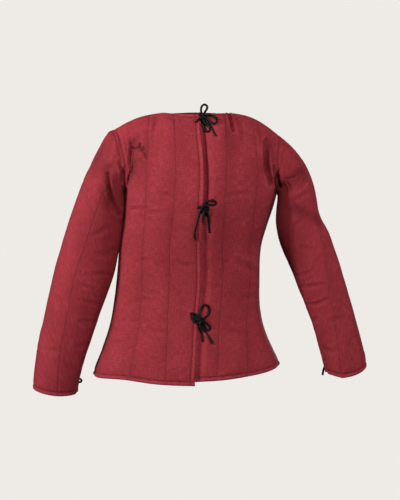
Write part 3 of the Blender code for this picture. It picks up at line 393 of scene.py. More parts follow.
FIRST_SLEEVE_LINE = -36  # angle of a quilting line at the armhole, so that the others fall at 36, 108, 180 and 252
SLIT_ANGLE = 172  # of the slit at the cuff's inner side
SLIT_REACH = 9  # to where the cuff's edge is level again, in degrees
SLIT_HEIGHT = 0.014
SLIT_RISE = 0.017


# ---------------------------------------------------------------- folds
class Fold(NamedTuple):
    """Trough seen square to the front or the back: its depth, its half width, the x and z of points along it, and how
    far the cloth on both sides of it rises, as a share of its depth. The tables below give it in millimetres."""

    depth: float
    width: float
    route: tuple[tuple[float, float], ...]
    flank: float = 0.4
    facing: Facing = Facing.FRONT


def in_metres(size: float) -> float:
    """A size in millimetres, in metres."""
    return round(size / 1000, 7)


def lay_folds(*rows: Fold) -> tuple[Fold, ...]:
    """Take a table of folds in millimetres to metres.

    Args:
        rows: the folds.

    Returns:
        The folds in metres.
    """
    return tuple(
        row._replace(
            depth=in_metres(row.depth),
            width=in_metres(row.width),
            route=tuple(tuple(in_metres(size) for size in point) for point in row.route),
        )
        for row in rows
    )


FOLD_STEPS = 17  # points along a curved fold
FOLD_SEEN = 3  # how soon a fold comes to its full depth where the cloth turns to face it
FOLD_END, FOLD_TAPER = 0.35, 0.06  # share of its depth that a fold keeps at its ends, and share of its length
FLANK_AT, FLANK_WIDTH = 1.7, 0.8  # of the raised cloth beside a fold, in the fold's half widths

BODY_FOLDS = lay_folds(
    Fold(9, 13, ((171, -78), (170, -140)), flank=0),
    Fold(6, 13, ((-152, -80), (-155, -145)), flank=0),
    Fold(4, 12, ((-148, -82), (-118, -95)), flank=0),
    Fold(7, 15, ((160, -85), (166, -150)), flank=0, facing=Facing.BACK),
    Fold(7, 15, ((-150, -80), (-158, -145)), flank=0, facing=Facing.BACK),
    Fold(8.8, 2.8, ((-155, -83.1), (-144.5, -88), (-135.5, -87.5), (-132, -78.4))),
    Fold(8.5, 3.2, (
        (-156, -63.1), (-156.5, -86.6), (-158.8, -107.8), (-161.2, -133.6), (-161.6, -152.4), (-164.4, -173.6),
    )),
    Fold(2, 8, ((-140.9, -53.7), (-137.4, -67.8))),
    Fold(4.2, 4.6, ((-128, -91.3), (-119.8, -100.7), (-116.2, -112.5))),
    Fold(2.2, 5, ((-96.7, -16), (-98.1, -34.8), (-100.9, -58.4))),
    Fold(1.4, 4, ((-75.1, -15.1), (-61, -17), (-51.6, -22.1), (-48.5, -31.3))),
    Fold(10.5, 3, ((75.9, 7.5), (80.2, -13.7), (83.9, -30.1), (88.2, -49))),
    Fold(1.8, 5, ((100.2, -20.7), (106, -44.3), (110.7, -81.9))),
    Fold(1.8, 4, ((147.2, -37.2), (153.1, -53.7), (156.6, -74.8))),
    Fold(8.5, 3.8, ((19.5, -25.4), (21.8, -96), (24.2, -166.6), (23, -225.4), (19.5, -307.7)), flank=0.1),
    Fold(1.8, 5, ((-155, -233.6), (-136.2, -232.4), (-115.1, -233.8))),
    Fold(1.4, 5, ((-112.7, -243), (-93.9, -241.4), (-77.4, -242.3))),
    Fold(1.3, 5, ((-86.8, -199), (-65.7, -201.8), (-46.8, -206.5))),
    Fold(1, 6, ((-159.7, -303), (-140.9, -299.4))),
    Fold(1, 6, ((-150.3, -359.4), (-108, -352.4))),
    Fold(1, 7, ((-164.4, -460.6), (-131.5, -448.8), (-108, -448.8))),
    Fold(1.2, 6, ((-119.8, -427.6), (-89.2, -434.7))),
    Fold(0.9, 6, ((-46.8, -359.4), (-23.3, -366.5), (-2.2, -366.5))),
    Fold(0.9, 6, ((-108, -519.4), (-65.7, -526.4))),
    Fold(0.9, 6, ((-197.4, -554.6), (-159.7, -545.2))),
    Fold(9.8, 5.6, ((170.9, -70.1), (167.7, -105.4), (170.5, -140.7), (176.6, -176))),
    Fold(2, 8, ((149.5, -41.9), (154.2, -53.7))),
    Fold(2, 9, ((101.3, -359.4), (124.8, -371.2), (148.4, -390))),
    Fold(1.2, 6, ((75.5, -204.2), (108.4, -197.1), (127.2, -199.5))),
    Fold(1, 6, ((37.8, -166.6), (61.3, -173.6))),
    Fold(1.2, 7, ((103.7, -448.8), (141.3, -439.4))),
    Fold(1, 6, ((70.8, -519.4), (117.8, -528.8))),
    Fold(1, 6, ((28.4, -413.5), (56.6, -420.6))),
    Fold(1.2, 6, ((169.5, -237.1), (197.8, -223))),
    Fold(9, 3.6, ((185.8, -133.6), (186.9, -152.4), (188.8, -176))),
    Fold(1.8, 8, ((-131.5, -96), (-84.5, -110.1)), facing=Facing.BACK),
    Fold(1.8, 8, ((103.7, -96), (155.4, -86.6)), facing=Facing.BACK),
    Fold(1.4, 7, ((-108, -225.4), (-46.8, -232.4)), facing=Facing.BACK),
    Fold(1.5, 7, ((44.9, -241.8), (115.4, -232.4)), facing=Facing.BACK),
    Fold(1.4, 7, ((-143.3, -359.4), (-84.5, -368.8)), facing=Facing.BACK),
    Fold(1.3, 7, ((68.4, -378.2), (127.2, -364.1)), facing=Facing.BACK),
    Fold(1.1, 8, ((-25.7, -307.7), (9.6, -314.7)), facing=Facing.BACK),
    Fold(1.2, 6, ((-108, -495.8), (-49.2, -486.4)), facing=Facing.BACK),
    Fold(1.2, 6, ((44.9, -507.6), (103.7, -519.4)), facing=Facing.BACK),
    Fold(1.6, 6, ((-72.7, -37.2), (-89.2, -72.5)), facing=Facing.BACK),
    Fold(1.6, 6, ((84.9, -37.2), (103.7, -67.8)), facing=Facing.BACK),
)
SLEEVE_RIGHT_FOLDS = lay_folds(
    Fold(8, 13, ((-212, -140), (-199, -225)), flank=0),
    Fold(4, 14, ((-228, -75), (-240, -150)), flank=0),
    Fold(7, 15, ((-235, -130), (-205, -210)), flank=0, facing=Facing.BACK),
    Fold(5, 14, ((-300, -330), (-225, -350)), flank=0, facing=Facing.BACK),
    Fold(4.4, 4, ((-182.1, -121.9), (-175, -145.4), (-172.7, -168.9))),
    Fold(3.6, 4, ((-164.4, -126.6), (-171.5, -147.7), (-176.2, -164.2))),
    Fold(8.5, 4.8, ((-208.7, -150.1), (-205.4, -185.4), (-197.4, -216), (-180.9, -246.5))),
    Fold(2.2, 8, ((-198.6, -56), (-206.8, -88.9), (-217.4, -121.9))),
    Fold(1.6, 6, ((-232.7, -176), (-218.5, -204.2))),
    Fold(1.4, 6, ((-206.8, -274.8), (-228, -288.9), (-251.5, -298.3))),
    Fold(1.3, 6, ((-195, -331.2), (-218.5, -340.6), (-237.4, -340.6))),
    Fold(1.4, 5, ((-195, -394.7), (-225.6, -387.6), (-258.5, -390))),
    Fold(1.3, 5, ((-244.4, -422.9), (-263.2, -418.2), (-279.7, -408.8))),
    Fold(1.3, 5, ((-232.7, -460.6), (-253.8, -455.9), (-275, -451.2))),
    Fold(1.2, 5, ((-242.1, -505.2), (-263.2, -500.5), (-277.3, -502.9))),
    Fold(1.2, 6, ((-319.7, -448.8), (-343.2, -439.4))),
    Fold(1.1, 6, ((-263.2, -557), (-286.8, -561.7))),
    Fold(1.1, 6, ((-324.4, -571.1), (-355, -566.4))),
    Fold(1.6, 8, ((-202.1, -307.7), (-260.9, -331.2)), facing=Facing.BACK),
    Fold(1.6, 8, ((-237.4, -425.3), (-305.6, -448.8)), facing=Facing.BACK),
    Fold(1.3, 8, ((-272.6, -542.9), (-331.4, -554.6)), facing=Facing.BACK),
    Fold(1.4, 6, ((-225.6, -241.8), (-272.6, -265.3)), facing=Facing.BACK),
    Fold(1.2, 6, ((-249.1, -491.1), (-296.2, -500.5)), facing=Facing.BACK),
)
SLEEVE_LEFT_FOLDS = lay_folds(
    Fold(9, 13, ((212, -180), (250, -150)), flank=0),
    Fold(5, 13, ((235, -235), (290, -262)), flank=0),
    Fold(7, 15, ((212, -190), (255, -160)), flank=0, facing=Facing.BACK),
    Fold(6, 15, ((230, -275), (300, -290)), flank=0, facing=Facing.BACK),
    Fold(5.2, 3, ((209.5, -161.9), (223.6, -161.4), (235.4, -157.2), (249.5, -152.4))),
    Fold(15, 4.6, ((191.2, -131.3), (191.6, -152.4), (195.9, -180.7))),
    Fold(4.8, 3.2, ((210.7, -166.6), (217.8, -176), (226, -187.7))),
    Fold(3, 5, ((247.2, -183), (256.6, -171.3), (266, -159.5))),
    Fold(2, 6, ((226, -216), (244.8, -206.5), (266, -193.6))),
    Fold(1.6, 5, ((231.9, -272.4), (247.2, -263), (261.3, -252.4))),
    Fold(2, 5, ((288.3, -253.6), (294.2, -260.6), (300.1, -272.4))),
    Fold(1.4, 5, ((244.8, -391.2), (261.3, -387.6), (280.1, -378.2))),
    Fold(1.5, 5, ((249.5, -418.2), (275.4, -417), (306, -411.2))),
    Fold(1.9, 4.6, ((261.3, -461), (287.1, -459.1), (314.2, -446.4))),
    Fold(1.2, 5, ((273, -501.7), (289.5, -494.7))),
    Fold(1.7, 6, ((301.2, -564), (315.4, -571.1), (331.8, -569.9))),
    Fold(1.1, 6, ((244.8, -321.8), (282.4, -331.2))),
    Fold(1, 6, ((320.1, -500.5), (350.6, -491.1))),
    Fold(1.6, 8, ((209.5, -248.9), (268.3, -225.4)), facing=Facing.BACK),
    Fold(1.8, 8, ((226, -354.7), (303.6, -373.5)), facing=Facing.BACK),
    Fold(1.5, 8, ((273, -495.8), (350.6, -484.1)), facing=Facing.BACK),
    Fold(1.4, 6, ((235.4, -295.9), (287.1, -307.7)), facing=Facing.BACK),
    Fold(1.3, 6, ((244.8, -425.3), (315.4, -434.7)), facing=Facing.BACK),
)


# ---------------------------------------------------------------- lace sizes
class Knot(NamedTuple):
    """Rounded lump of a tied bow's knot: its middle and half sizes."""

    name: str
    x: float
    y: float
    z: float
    half_x: float
    half_y: float
    half_z: float


class Cord(NamedTuple):
    """One run of a lace: between the cloth and a knot, round a bow's loop, or out to a free end."""

    name: str
    points: tuple  # (x, y, z) along its middle, in millimetres

    def along(self, steps: int) -> Array:
        """Points in metres along its middle line, so many for each of its own."""
        curve = Curve([(index, *map(in_metres, point)) for index, point in enumerate(self.points)])
        return curve.at(np.linspace(0, len(self.points) - 1, steps * len(self.points)))


KNOTS = (
    Knot("neck_knot", 0.0172, -0.0635, -0.0168, 0.0052, 0.0060, 0.0048),
    Knot("chest_knot", 0.0215, -0.1252, -0.2360, 0.0040, 0.0041, 0.0052),
    Knot("hip_knot", 0.0105, -0.1151, -0.4991, 0.0046, 0.0052, 0.0066),
)
CORDS = (
    Cord("neck_lead", (
        (-0.1, -71.4, -27.8), (3.2, -73.2, -25.2), (6.8, -70, -21.7), (11.7, -65.8, -18.1),
    )),
    Cord("neck_stub", (
        (13.2, -64.5, -13.2), (10.1, -64.5, -9.5), (7.2, -64, -6.4),
    )),
    Cord("neck_loop_top", (
        (15.6, -68.6, -13), (12.4, -69.5, -4.1), (12.2, -69, 3.5), (14.6, -67.5, 9.7), (19.5, -66, 13.4),
        (24.8, -65, 11.3), (26.9, -64.5, 6.9), (25.5, -64, 2.2), (22.2, -63.5, -2.8), (19.8, -63.5, -7.3),
        (18.2, -63.8, -11.5),
    )),
    Cord("neck_loop_side", (
        (22.6, -65.2, -14.2), (26.4, -62.5, -11.9), (31.5, -61, -10.8), (37.5, -61.5, -12.2), (43.8, -66, -15.7),
        (48.3, -72.1, -20), (49.7, -77.8, -25.2), (47.4, -80.8, -30.4), (42.6, -80.7, -33), (37.4, -78.5, -31.2),
        (33.2, -74.7, -26.6), (29.1, -71, -21.9), (25.8, -68.6, -18.1), (22.9, -66, -16),
    )),
    Cord("neck_loop_low", (
        (14.2, -63.6, -22.3), (15.5, -67.7, -29.6), (17.6, -73.4, -38), (20.5, -77.8, -46), (25.7, -81.2, -51.4),
        (31.6, -81.8, -50.3), (33.2, -79.3, -44.5), (29.7, -75.6, -37.9), (23.1, -70.9, -31.7), (15.9, -66.1, -22.6),
    )),
    Cord("neck_end", (
        (19.7, -65.6, -21.7), (26.9, -67.7, -27.2), (32.1, -72.3, -33.4), (37.5, -78.6, -41.3), (41.2, -83.9, -50.4),
        (44.5, -87.1, -57.2), (48.5, -89.3, -62.2),
    )),
    Cord("chest_lead", (
        (4.5, -124.4, -232), (8.7, -124.5, -230.6), (12.6, -123.8, -231), (17.5, -125.4, -233.3),
    )),
    Cord("chest_loop_side", (
        (20.1, -126.5, -230.8), (19, -126.6, -224.1), (22.9, -126.4, -219.6), (30.2, -125, -216.8),
        (38.4, -122, -215.3), (44.3, -119.5, -216.9), (46.6, -118, -221.5), (43.8, -117.5, -225.7),
        (37.7, -119.3, -225.5), (32.1, -122, -225.8), (25.6, -126.1, -232.3),
    )),
    Cord("chest_loop_front", (
        (18.2, -128, -240.3), (14.7, -130.6, -239.1), (14, -131.6, -234.5), (16.6, -132.2, -228.4),
        (21.7, -132.6, -225.8), (26.9, -132, -227.9), (29.7, -131, -232.6), (29.7, -128.6, -236.7),
        (26.9, -124.7, -239.2),
    )),
    Cord("chest_end_low", (
        (17, -125.3, -238.2), (11.9, -123.1, -238.5), (8.9, -123.4, -244.1), (6.3, -123.3, -253.7),
        (2.6, -122.4, -268.9), (-1.4, -121, -283.9), (-2.6, -119.4, -295.8), (-0.5, -117.6, -306.4),
    )),
    Cord("chest_end_side", (
        (24, -124.5, -240.6), (28.8, -120.2, -247.3), (29.8, -117.5, -252), (29.8, -114.4, -259.4),
        (30.9, -113.2, -270), (31.4, -112.1, -280.5), (32.4, -110.8, -290.1),
    )),
    Cord("chest_stub", (
        (20.8, -124.4, -241.5), (17.6, -123.5, -248.8), (17.3, -123.1, -254.9), (19, -122.1, -261.9),
    )),
    Cord("hip_lead_top", (
        (-13.4, -112.5, -480.4), (-6.8, -113.1, -479.9), (0.2, -112.6, -482), (4.7, -113.6, -487.4),
        (7.9, -114.2, -493.2),
    )),
    Cord("hip_lead_middle", (
        (-6.3, -112.6, -486.5), (-1.7, -113.4, -490), (2.6, -116, -493.7), (5.3, -116.9, -496.3),
    )),
    Cord("hip_lead_low", (
        (-11, -113.2, -485.5), (-7.8, -114.4, -492.1), (-3.8, -114.5, -498.2), (0.7, -115.1, -502.1),
        (5.5, -115.8, -502.3),
    )),
    Cord("hip_loop_top", (
        (12, -118.1, -492.4), (10.3, -118.6, -484.9), (9.4, -117.5, -477.4), (11, -114.5, -470), (14.8, -111, -463.6),
        (20.4, -108, -460.3), (27, -105, -461.8), (31.2, -102.6, -468), (31.7, -103.2, -476), (28.9, -104.6, -483.9),
        (23.2, -109.5, -489.2), (15.3, -117.1, -493.5),
    )),
    Cord("hip_loop_side", (
        (16.2, -115.2, -498.2), (22.3, -111.5, -500.6), (27.7, -109.5, -504.7), (31.9, -108.4, -510.3),
        (33.1, -109.3, -516.2), (30.3, -109.9, -519.9), (25.8, -109.3, -517.4), (21.1, -109.4, -511),
        (15.8, -115.9, -503.3),
    )),
    Cord("hip_end_low", (
        (7.8, -115.1, -506.4), (10.3, -115.1, -514.1), (12.4, -110.3, -523.2), (14.3, -112.1, -533.4),
        (16.2, -114.4, -545.1),
    )),
    Cord("hip_end_side", (
        (12, -115.8, -506.6), (16.9, -111, -514.7), (22.3, -110, -521.3), (28.4, -112.1, -531.3),
        (34.5, -114.2, -541.3), (39.6, -116.3, -549.7),
    )),
    Cord("cuff_loop", (
        (-289, 11.3, -640.3), (-284.5, 8, -640.8), (-280.8, 3.5, -640.8), (-277.2, 1.8, -641.4), (-274.6, 1.2, -644.6),
        (-277.2, 1.8, -648), (-280.8, 3.5, -648.6), (-284.5, 8.5, -648.6), (-290.1, 10.6, -648),
    )),
    Cord("cuff_end", (
        (316.1, 12.9, -598.8), (311.8, 11, -606.5), (308.5, 9, -613.5), (306.2, 8, -620.5), (305, 7.4, -626.5),
        (304.3, 7, -632.2),
    )),
)
SHORTEST_FREE_CORD = 0.030  # a shorter run counts as part of its knot


# ---------------------------------------------------------------- smooth curves
def hermite(start: Array, start_slope: Array, end: Array, end_slope: Array, share: Array) -> Array:
    """Point on the cubic between two ends with the given slopes.

    Args:
        start: first end.
        start_slope: slope there, over the whole cubic.
        end: last end.
        end_slope: slope there.
        share: 0 at the start to 1 at the end.

    Returns:
        The points.
    """
    square, cube = share**2, share**3
    return (
        (2 * cube - 3 * square + 1) * start
        + (cube - 2 * square + share) * start_slope
        + (3 * square - 2 * cube) * end
        + (cube - square) * end_slope
    )


def blend(keys: Sequence[float], at: Array) -> Array:
    """Weights of a table's rows at places between their keys, for a curve that runs smoothly through every row.

    Args:
        keys: place of each row, rising.
        at: places wanted.

    Returns:
        One weight for each row, along a last axis more than at has.
    """
    keys, at = np.asarray(keys, float), np.asarray(at, float)
    places = np.arange(len(keys))
    index = np.clip(np.searchsorted(keys, at) - 1, 0, len(keys) - 2)
    low, high = np.maximum(places - 1, 0), np.minimum(places + 1, len(keys) - 1)
    rows = np.eye(len(keys))
    slopes = (rows[high] - rows[low]) / (keys[high] - keys[low])[:, None]
    span = (keys[index + 1] - keys[index])[..., None]
    share = (at - keys[index])[..., None] / span
    return hermite(rows[index], slopes[index] * span, rows[index + 1], slopes[index + 1] * span, share)


class Curve:
    """Smooth curve through the rows of a table, along the table's first column."""

    def __init__(self, rows: Sequence[tuple]) -> None:
        """Keep the table.

        Args:
            rows: named rows of numbers.
        """
        table = np.array([tuple(row) for row in rows], float)
        self.keys, self.values = table[:, 0], table[:, 1:]

    def at(self, place: Array) -> Array:
        """The other columns at places along the first."""
        return blend(self.keys, place) @ self.values


def ease(share: Array) -> Array:
    """0 to 1 with level ends."""
    share = np.clip(share, 0.0, 1.0)
    return share * share * (3 - 2 * share)


def unit(vectors: Array) -> Array:
    """Vectors of length 1."""
    return vectors / np.linalg.norm(vectors, axis=-1, keepdims=True)


def signed_power(value: Array, power: float) -> Array:
    """Power of numbers that may be negative, with their signs kept."""
    return np.sign(value) * np.abs(value) ** power


def line_up(*columns: Array) -> Array:
    """Arrays side by side along a new last axis, spread to the same shape."""
    return np.stack(np.broadcast_arrays(*columns), axis=-1)


def bump(distance: Array, width: float) -> Array:
    """1 at no distance, falling smoothly to 0 past the width."""
    return np.exp(-((distance / width) ** 2))


class Unevenness:
    """Smooth chance variation over a flat pattern, the same on each run."""

    cells = 64  # of the table, each way
    shift = (7.3, 3.1)  # cells, so that a pattern's edges don't fall on a cell's

    def __init__(self, seed: int) -> None:
        """Draw the table of chance heights.

        Args:
            seed: picks the table.
        """
        self.heights = np.random.default_rng(seed).uniform(-1, 1, (self.cells, self.cells))

    def at(self, across: Array, along: Array, cell: float) -> Array:
        """Height between -1 and 1 at places on the pattern.

        Args:
            across: place one way, in metres.
            along: place the other way.
            cell: size of one swell.

        Returns:
            The heights.
        """
        x, y = across / cell + self.shift[0], along / cell + self.shift[1]
        column, row = np.floor(x).astype(int), np.floor(y).astype(int)
        right, up = ease(x - column), ease(y - row)

        def corner(step_x: int, step_y: int) -> Array:
            """Heights at one corner of each place's cell."""
            return self.heights[(row + step_y) % self.cells, (column + step_x) % self.cells]

        low = corner(0, 0) * (1 - right) + corner(1, 0) * right
        high = corner(0, 1) * (1 - right) + corner(1, 1) * right
        return low * (1 - up) + high * up


# ---------------------------------------------------------------- body form
LEVEL_CURVE = Curve(LEVELS)
HEM_RIGHT_CURVE = Curve(HEM_RIGHT)
HEM_LEFT_CURVE = Curve(HEM_LEFT)


def body_point(angle: Array, z: Array) -> Array:
    """Points of the body's outer form.

    Args:
        angle: degrees from the centre front, towards the wearer's left.
        z: height.

    Returns:
        The points.
    """
    right_x, left_x, front_y, back_y = np.moveaxis(LEVEL_CURVE.at(z), -1, 0)
    sine, cosine = np.sin(np.radians(angle)), np.cos(np.radians(angle))
    depth = np.where(cosine > 0, SIDE_Y - front_y, back_y - SIDE_Y)
    half_width = (left_x - right_x) / 2
    behind_side = np.degrees(np.arcsin(np.clip(-cosine, -1, 1)))
    fullness = SIDE_FULLNESS * np.sign(sine) * bump(behind_side - FULLNESS_AT, FULLNESS_SPREAD)
    x = (right_x + left_x) / 2 + half_width * signed_power(sine, SQUARENESS) + fullness
    return line_up(x, SIDE_Y - depth * signed_power(cosine, SQUARENESS), z)


def top_point(x: Array, facing: Facing) -> Array:
    """Points of a panel's top edge: along the neck between the neck's sides, and else along the shoulder seam.

    Args:
        x: places from side to side.
        facing: the panel's side of the body.

    Returns:
        The points.
    """
    across = np.clip((x - NECK_MID_X) / NECK_HALF_WIDTH, -1, 1)
    middle_y, middle_z = (NECK_FRONT_Y, NECK_FRONT_Z) if facing is Facing.FRONT else (NECK_BACK_Y, NECK_BACK_Z)
    neck_y = NECK_SIDE_Y + (middle_y - NECK_SIDE_Y) * np.sqrt(1 - across**2)
    neck_z = NECK_SIDE_Z + (middle_z - NECK_SIDE_Z) * (1 - across**2)
    right = x < NECK_MID_X
    tip = [np.where(right, a, b) for a, b in zip(SHOULDER_RIGHT, SHOULDER_LEFT)]
    neck_x = NECK_MID_X + np.where(right, -NECK_HALF_WIDTH, NECK_HALF_WIDTH)
    share = np.clip((x - neck_x) / (tip[0] - neck_x), 0, 1)
    shoulder_y = NECK_SIDE_Y + (tip[1] - NECK_SIDE_Y) * share
    shoulder_z = NECK_SIDE_Z + (tip[2] - NECK_SIDE_Z) * share + tip[3] * np.sin(np.pi * share)
    on_neck = np.abs(across) < 1
    return line_up(x, np.where(on_neck, neck_y, shoulder_y), np.where(on_neck, neck_z, shoulder_z))


class ArmholeSeam:
    """Seam round an armhole, from the shoulder (0) by the front (90) and the underarm (180)."""

    def __init__(self, rows: Sequence[Armhole]) -> None:
        """Join the table's ends with a row more each, so that curves run on round it.

        Args:
            rows: points of the seam.
        """
        before = rows[-2]._replace(angle=rows[-2].angle - 360)
        after = rows[1]._replace(angle=rows[1].angle + 360)
        self.curve = Curve((before, *rows, after))
        self.middle = np.mean([row[1:] for row in rows[:-1]], axis=0)
        self.x = rows[0].x

    def point(self, angle: Array) -> Array:
        """Points of the seam at angles in degrees."""
        return self.curve.at(np.asarray(angle, float) % 360)

    def rim(self, angle: Array, own: Array) -> Array:
        """Directions of a wall's rim at the armhole. Both walls share the direction away from the armhole's middle,
        leant to the arm's side down the seam. At the underarm, where they lie back to back, each keeps its own.

        Args:
            angle: places on the seam, in degrees.
            own: the wall's own directions there.

        Returns:
            The directions.
        """
        angle = np.asarray(angle, float)
        along = unit(self.point(angle + 1) - self.point(angle - 1))
        from_top = np.minimum(angle % 360, 360 - angle % 360)
        out = unit((self.point(angle) - self.middle) * (0, 1, 1))
        out = out + ease(from_top / RIM_LEANS_FROM)[..., None] * (math.copysign(RIM_LEAN, self.x), 0, 0)
        shared = unit(out - along * np.sum(out * along, axis=-1, keepdims=True))
        apart = ease((from_top - RIM_SHARED_TO) / (RIM_OWN_FROM - RIM_SHARED_TO))[..., None]
        return unit(shared * (1 - apart) + own * apart)


# ---------------------------------------------------------------- finishes
def linear(code: str) -> tuple[float, float, float, float]:
    """Linear colour of an sRGB hex code.

    Args:
        code: six hex digits.

    Returns:
        Red, green, blue and a full alpha.
    """
    shares = [int(code[place : place + 2], 16) / 255 for place in (0, 2, 4)]
    return (*(s / 12.92 if s <= 0.04045 else ((s + 0.055) / 1.055) ** 2.4 for s in shares), 1.0)


def feed(tree: bpy.types.NodeTree, node: bpy.types.Node, inputs: dict) -> None:
    """Set or link a node's inputs.

    Args:
        tree: node tree of a material.
        node: the node.
        inputs: a value, or the output that feeds it, for each input by name or number.
    """
    for name, value in inputs.items():
        if isinstance(value, bpy.types.NodeSocket):
            tree.links.new(value, node.inputs[name])
        else:
            node.inputs[name].default_value = value


def add_node(
    tree: bpy.types.NodeTree, kind: str, inputs: dict, stops: Sequence[tuple[float, str]] = (), **settings: object
) -> bpy.types.Node:
    """Add a node with its settings and links.

    Args:
        tree: node tree of a material.
        kind: Blender's name for the node.
        inputs: a value, or the output that feeds it, for each input by name or number.
        stops: place and sRGB hex code of each colour, where the node has a ramp of them.
        settings: the node's own properties.

    Returns:
        The node.
    """
    node = tree.nodes.new(kind)
    for name, value in settings.items():
        setattr(node, name, value)
    feed(tree, node, inputs)
    for _ in stops[2:]:
        node.color_ramp.elements.new(0.5)
    for index, (place, code) in enumerate(stops):
        node.color_ramp.elements[index].position = place
        node.color_ramp.elements[index].color = linear(code)
    return node


@dataclass(frozen=True)
class WovenCotton:
    """Cotton canvas, dyed in the yarn and woven plain from uneven thread. It gives a matt face with short slubs both
    ways and a little bloom where threads stand up, paler on rubbed edges, with painted shade where stitching pulls it
    in, in folds and on its inner face, and a painted highlight on the raised cloth beside folds."""

    name: str = "wine_red_cotton"
    # The darkest colour is that of the painted shade in stitching, folds and on the inner face; the palest, that of
    # rubbed edges and of painted highlight beside folds
    deep: str = "2A080B"
    body: str = "80232B"
    worn_and_highlit: str = "97353F"
    bloom: str = "B85C62"
    roughness: float = 0.90
    thread: float = 0.0026  # a real thread is 0.6 mm wide; drawn coarser, so that it shows
    slub: float = 0.014  # length of a thick place in a thread
    patch: float = 0.060  # uneven dyeing and handling
    base_tone: float = -0.40  # place on the ramp of colours, before the three parts below
    painted_light_and_wear_tone: float = 0.52
    thread_tone: float = 0.45
    patch_tone: float = 0.30

    def make(self) -> bpy.types.Material:
        """Build the material.

        Returns:
            The material.
        """
        finish = bpy.data.materials.new(self.name)
        finish.use_nodes = True
        tree = finish.node_tree
        cloth = add_node(tree, "ShaderNodeUVMap", {}, uv_map="weave").outputs["UV"]
        # The cloth's tone from the mesh: painted shade in stitching, folds and on the inner face, painted highlight
        # beside folds, and edge wear
        relief = add_node(tree, "ShaderNodeAttribute", {}, attribute_name="relief").outputs["Fac"]
        warp = self.streaks(tree, cloth, (1 / self.thread, 1 / self.slub, 1))
        weft = self.streaks(tree, cloth, (1 / self.slub, 1 / self.thread, 1))
        threads = add_node(tree, "ShaderNodeMath", {0: warp, 1: weft}, operation="ADD").outputs[0]
        patches = add_node(tree, "ShaderNodeTexNoise", {"Vector": cloth, "Scale": 1 / self.patch, "Detail": 3.0})
        parts = ((relief, self.painted_light_and_wear_tone), (threads, self.thread_tone), (patches.outputs["Fac"], self.patch_tone))
        tone = self.base_tone
        for part, weight in parts:
            tone = add_node(tree, "ShaderNodeMath", {0: part, 1: weight, 2: tone}, operation="MULTIPLY_ADD").outputs[0]
        stops = ((0.10, self.deep), (0.72, self.body), (1.0, self.worn_and_highlit))
        colour = add_node(tree, "ShaderNodeValToRGB", {"Fac": tone}, stops)
        height = add_node(tree, "ShaderNodeBump", {"Strength": 0.4, "Distance": 0.0005, "Height": threads})
        shader = {
            "Base Color": colour.outputs["Color"],
            "Normal": height.outputs["Normal"],
            "Roughness": self.roughness,
            "Specular IOR Level": 0.18,
            "Sheen Weight": 0.03,
            "Sheen Roughness": 0.5,
            "Sheen Tint": linear(self.bloom),
        }
        feed(tree, tree.nodes["Principled BSDF"], shader)
        return finish

    @staticmethod
    def streaks(tree: bpy.types.NodeTree, cloth: bpy.types.NodeSocket, scale: tuple) -> bpy.types.NodeSocket:
        """Threads that thicken and thin along one way of the cloth.

        Args:
            tree: node tree of the material.
            cloth: coordinates on the cloth, in metres.
            scale: threads and slubs in a metre, across and along.

        Returns:
            The factor output, 0 to 1.
        """
        place = add_node(tree, "ShaderNodeMapping", {"Vector": cloth, "Scale": scale}).outputs[0]
        noise = {"Vector": place, "Scale": 1.0, "Detail": 1.5, "Roughness": 0.5}
        return add_node(tree, "ShaderNodeTexNoise", noise).outputs["Fac"]


@dataclass(frozen=True)
class LeatherLace:
    """Leather lace, cut round, dyed black and waxed. It gives a near-black body with a soft grey-green gloss along its
    crown and fine slanting creases."""

    name: str = "black_lace"
    dark: str = "030303"
    pale: str = "090A09"
    roughness: float = 0.55
    crease: float = 0.0012  # real creases are 0.7 mm apart; drawn coarser, so that they show

    def make(self) -> bpy.types.Material:
        """Build the material.

        Returns:
            The material.
        """
        finish = bpy.data.materials.new(self.name)
        finish.use_nodes = True
        tree = finish.node_tree
        place = add_node(tree, "ShaderNodeTexCoord", {}).outputs["Object"]
        turned = add_node(tree, "ShaderNodeMapping", {"Vector": place, "Rotation": (0.6, 0.5, 0.7)}).outputs[0]
        wave = {"Vector": turned, "Scale": 0.5 / self.crease / 3.2, "Distortion": 2.0, "Detail": 1.0}
        creases = add_node(tree, "ShaderNodeTexWave", wave).outputs["Fac"]
        colour = add_node(tree, "ShaderNodeValToRGB", {"Fac": creases}, ((0.2, self.dark), (0.9, self.pale)))
        height = add_node(tree, "ShaderNodeBump", {"Strength": 0.5, "Distance": 0.0003, "Height": creases})
        shader = {
            "Base Color": colour.outputs["Color"],
            "Normal": height.outputs["Normal"],
            "Roughness": self.roughness,
            "Specular IOR Level": 0.14,
        }
        feed(tree, tree.nodes["Principled BSDF"], shader)
        return finish


@dataclass(frozen=True)
class SewingThread:
    """Polyester thread, spun and dyed to the cloth. It gives fine dark dashes with a slight gloss."""

    name: str = "wine_red_thread"
    dark: str = "4A1219"
    pale: str = "66161F"
    roughness: float = 0.6
    uneven: float = 0.008  # length over which its shade changes

    def make(self) -> bpy.types.Material:
        """Build the material.

        Returns:
            The material.
        """
        finish = bpy.data.materials.new(self.name)
        finish.use_nodes = True
        tree = finish.node_tree
        place = add_node(tree, "ShaderNodeTexCoord", {}).outputs["Object"]
        shade = add_node(tree, "ShaderNodeTexNoise", {"Vector": place, "Scale": 1 / self.uneven, "Detail": 1.0})
        stops = ((0.35, self.dark), (0.7, self.pale))
        ramp = add_node(tree, "ShaderNodeValToRGB", {"Fac": shade.outputs["Fac"]}, stops)
        shader = {"Base Color": ramp.outputs["Color"], "Roughness": self.roughness, "Specular IOR Level": 0.3}
        feed(tree, tree.nodes["Principled BSDF"], shader)
        return finish


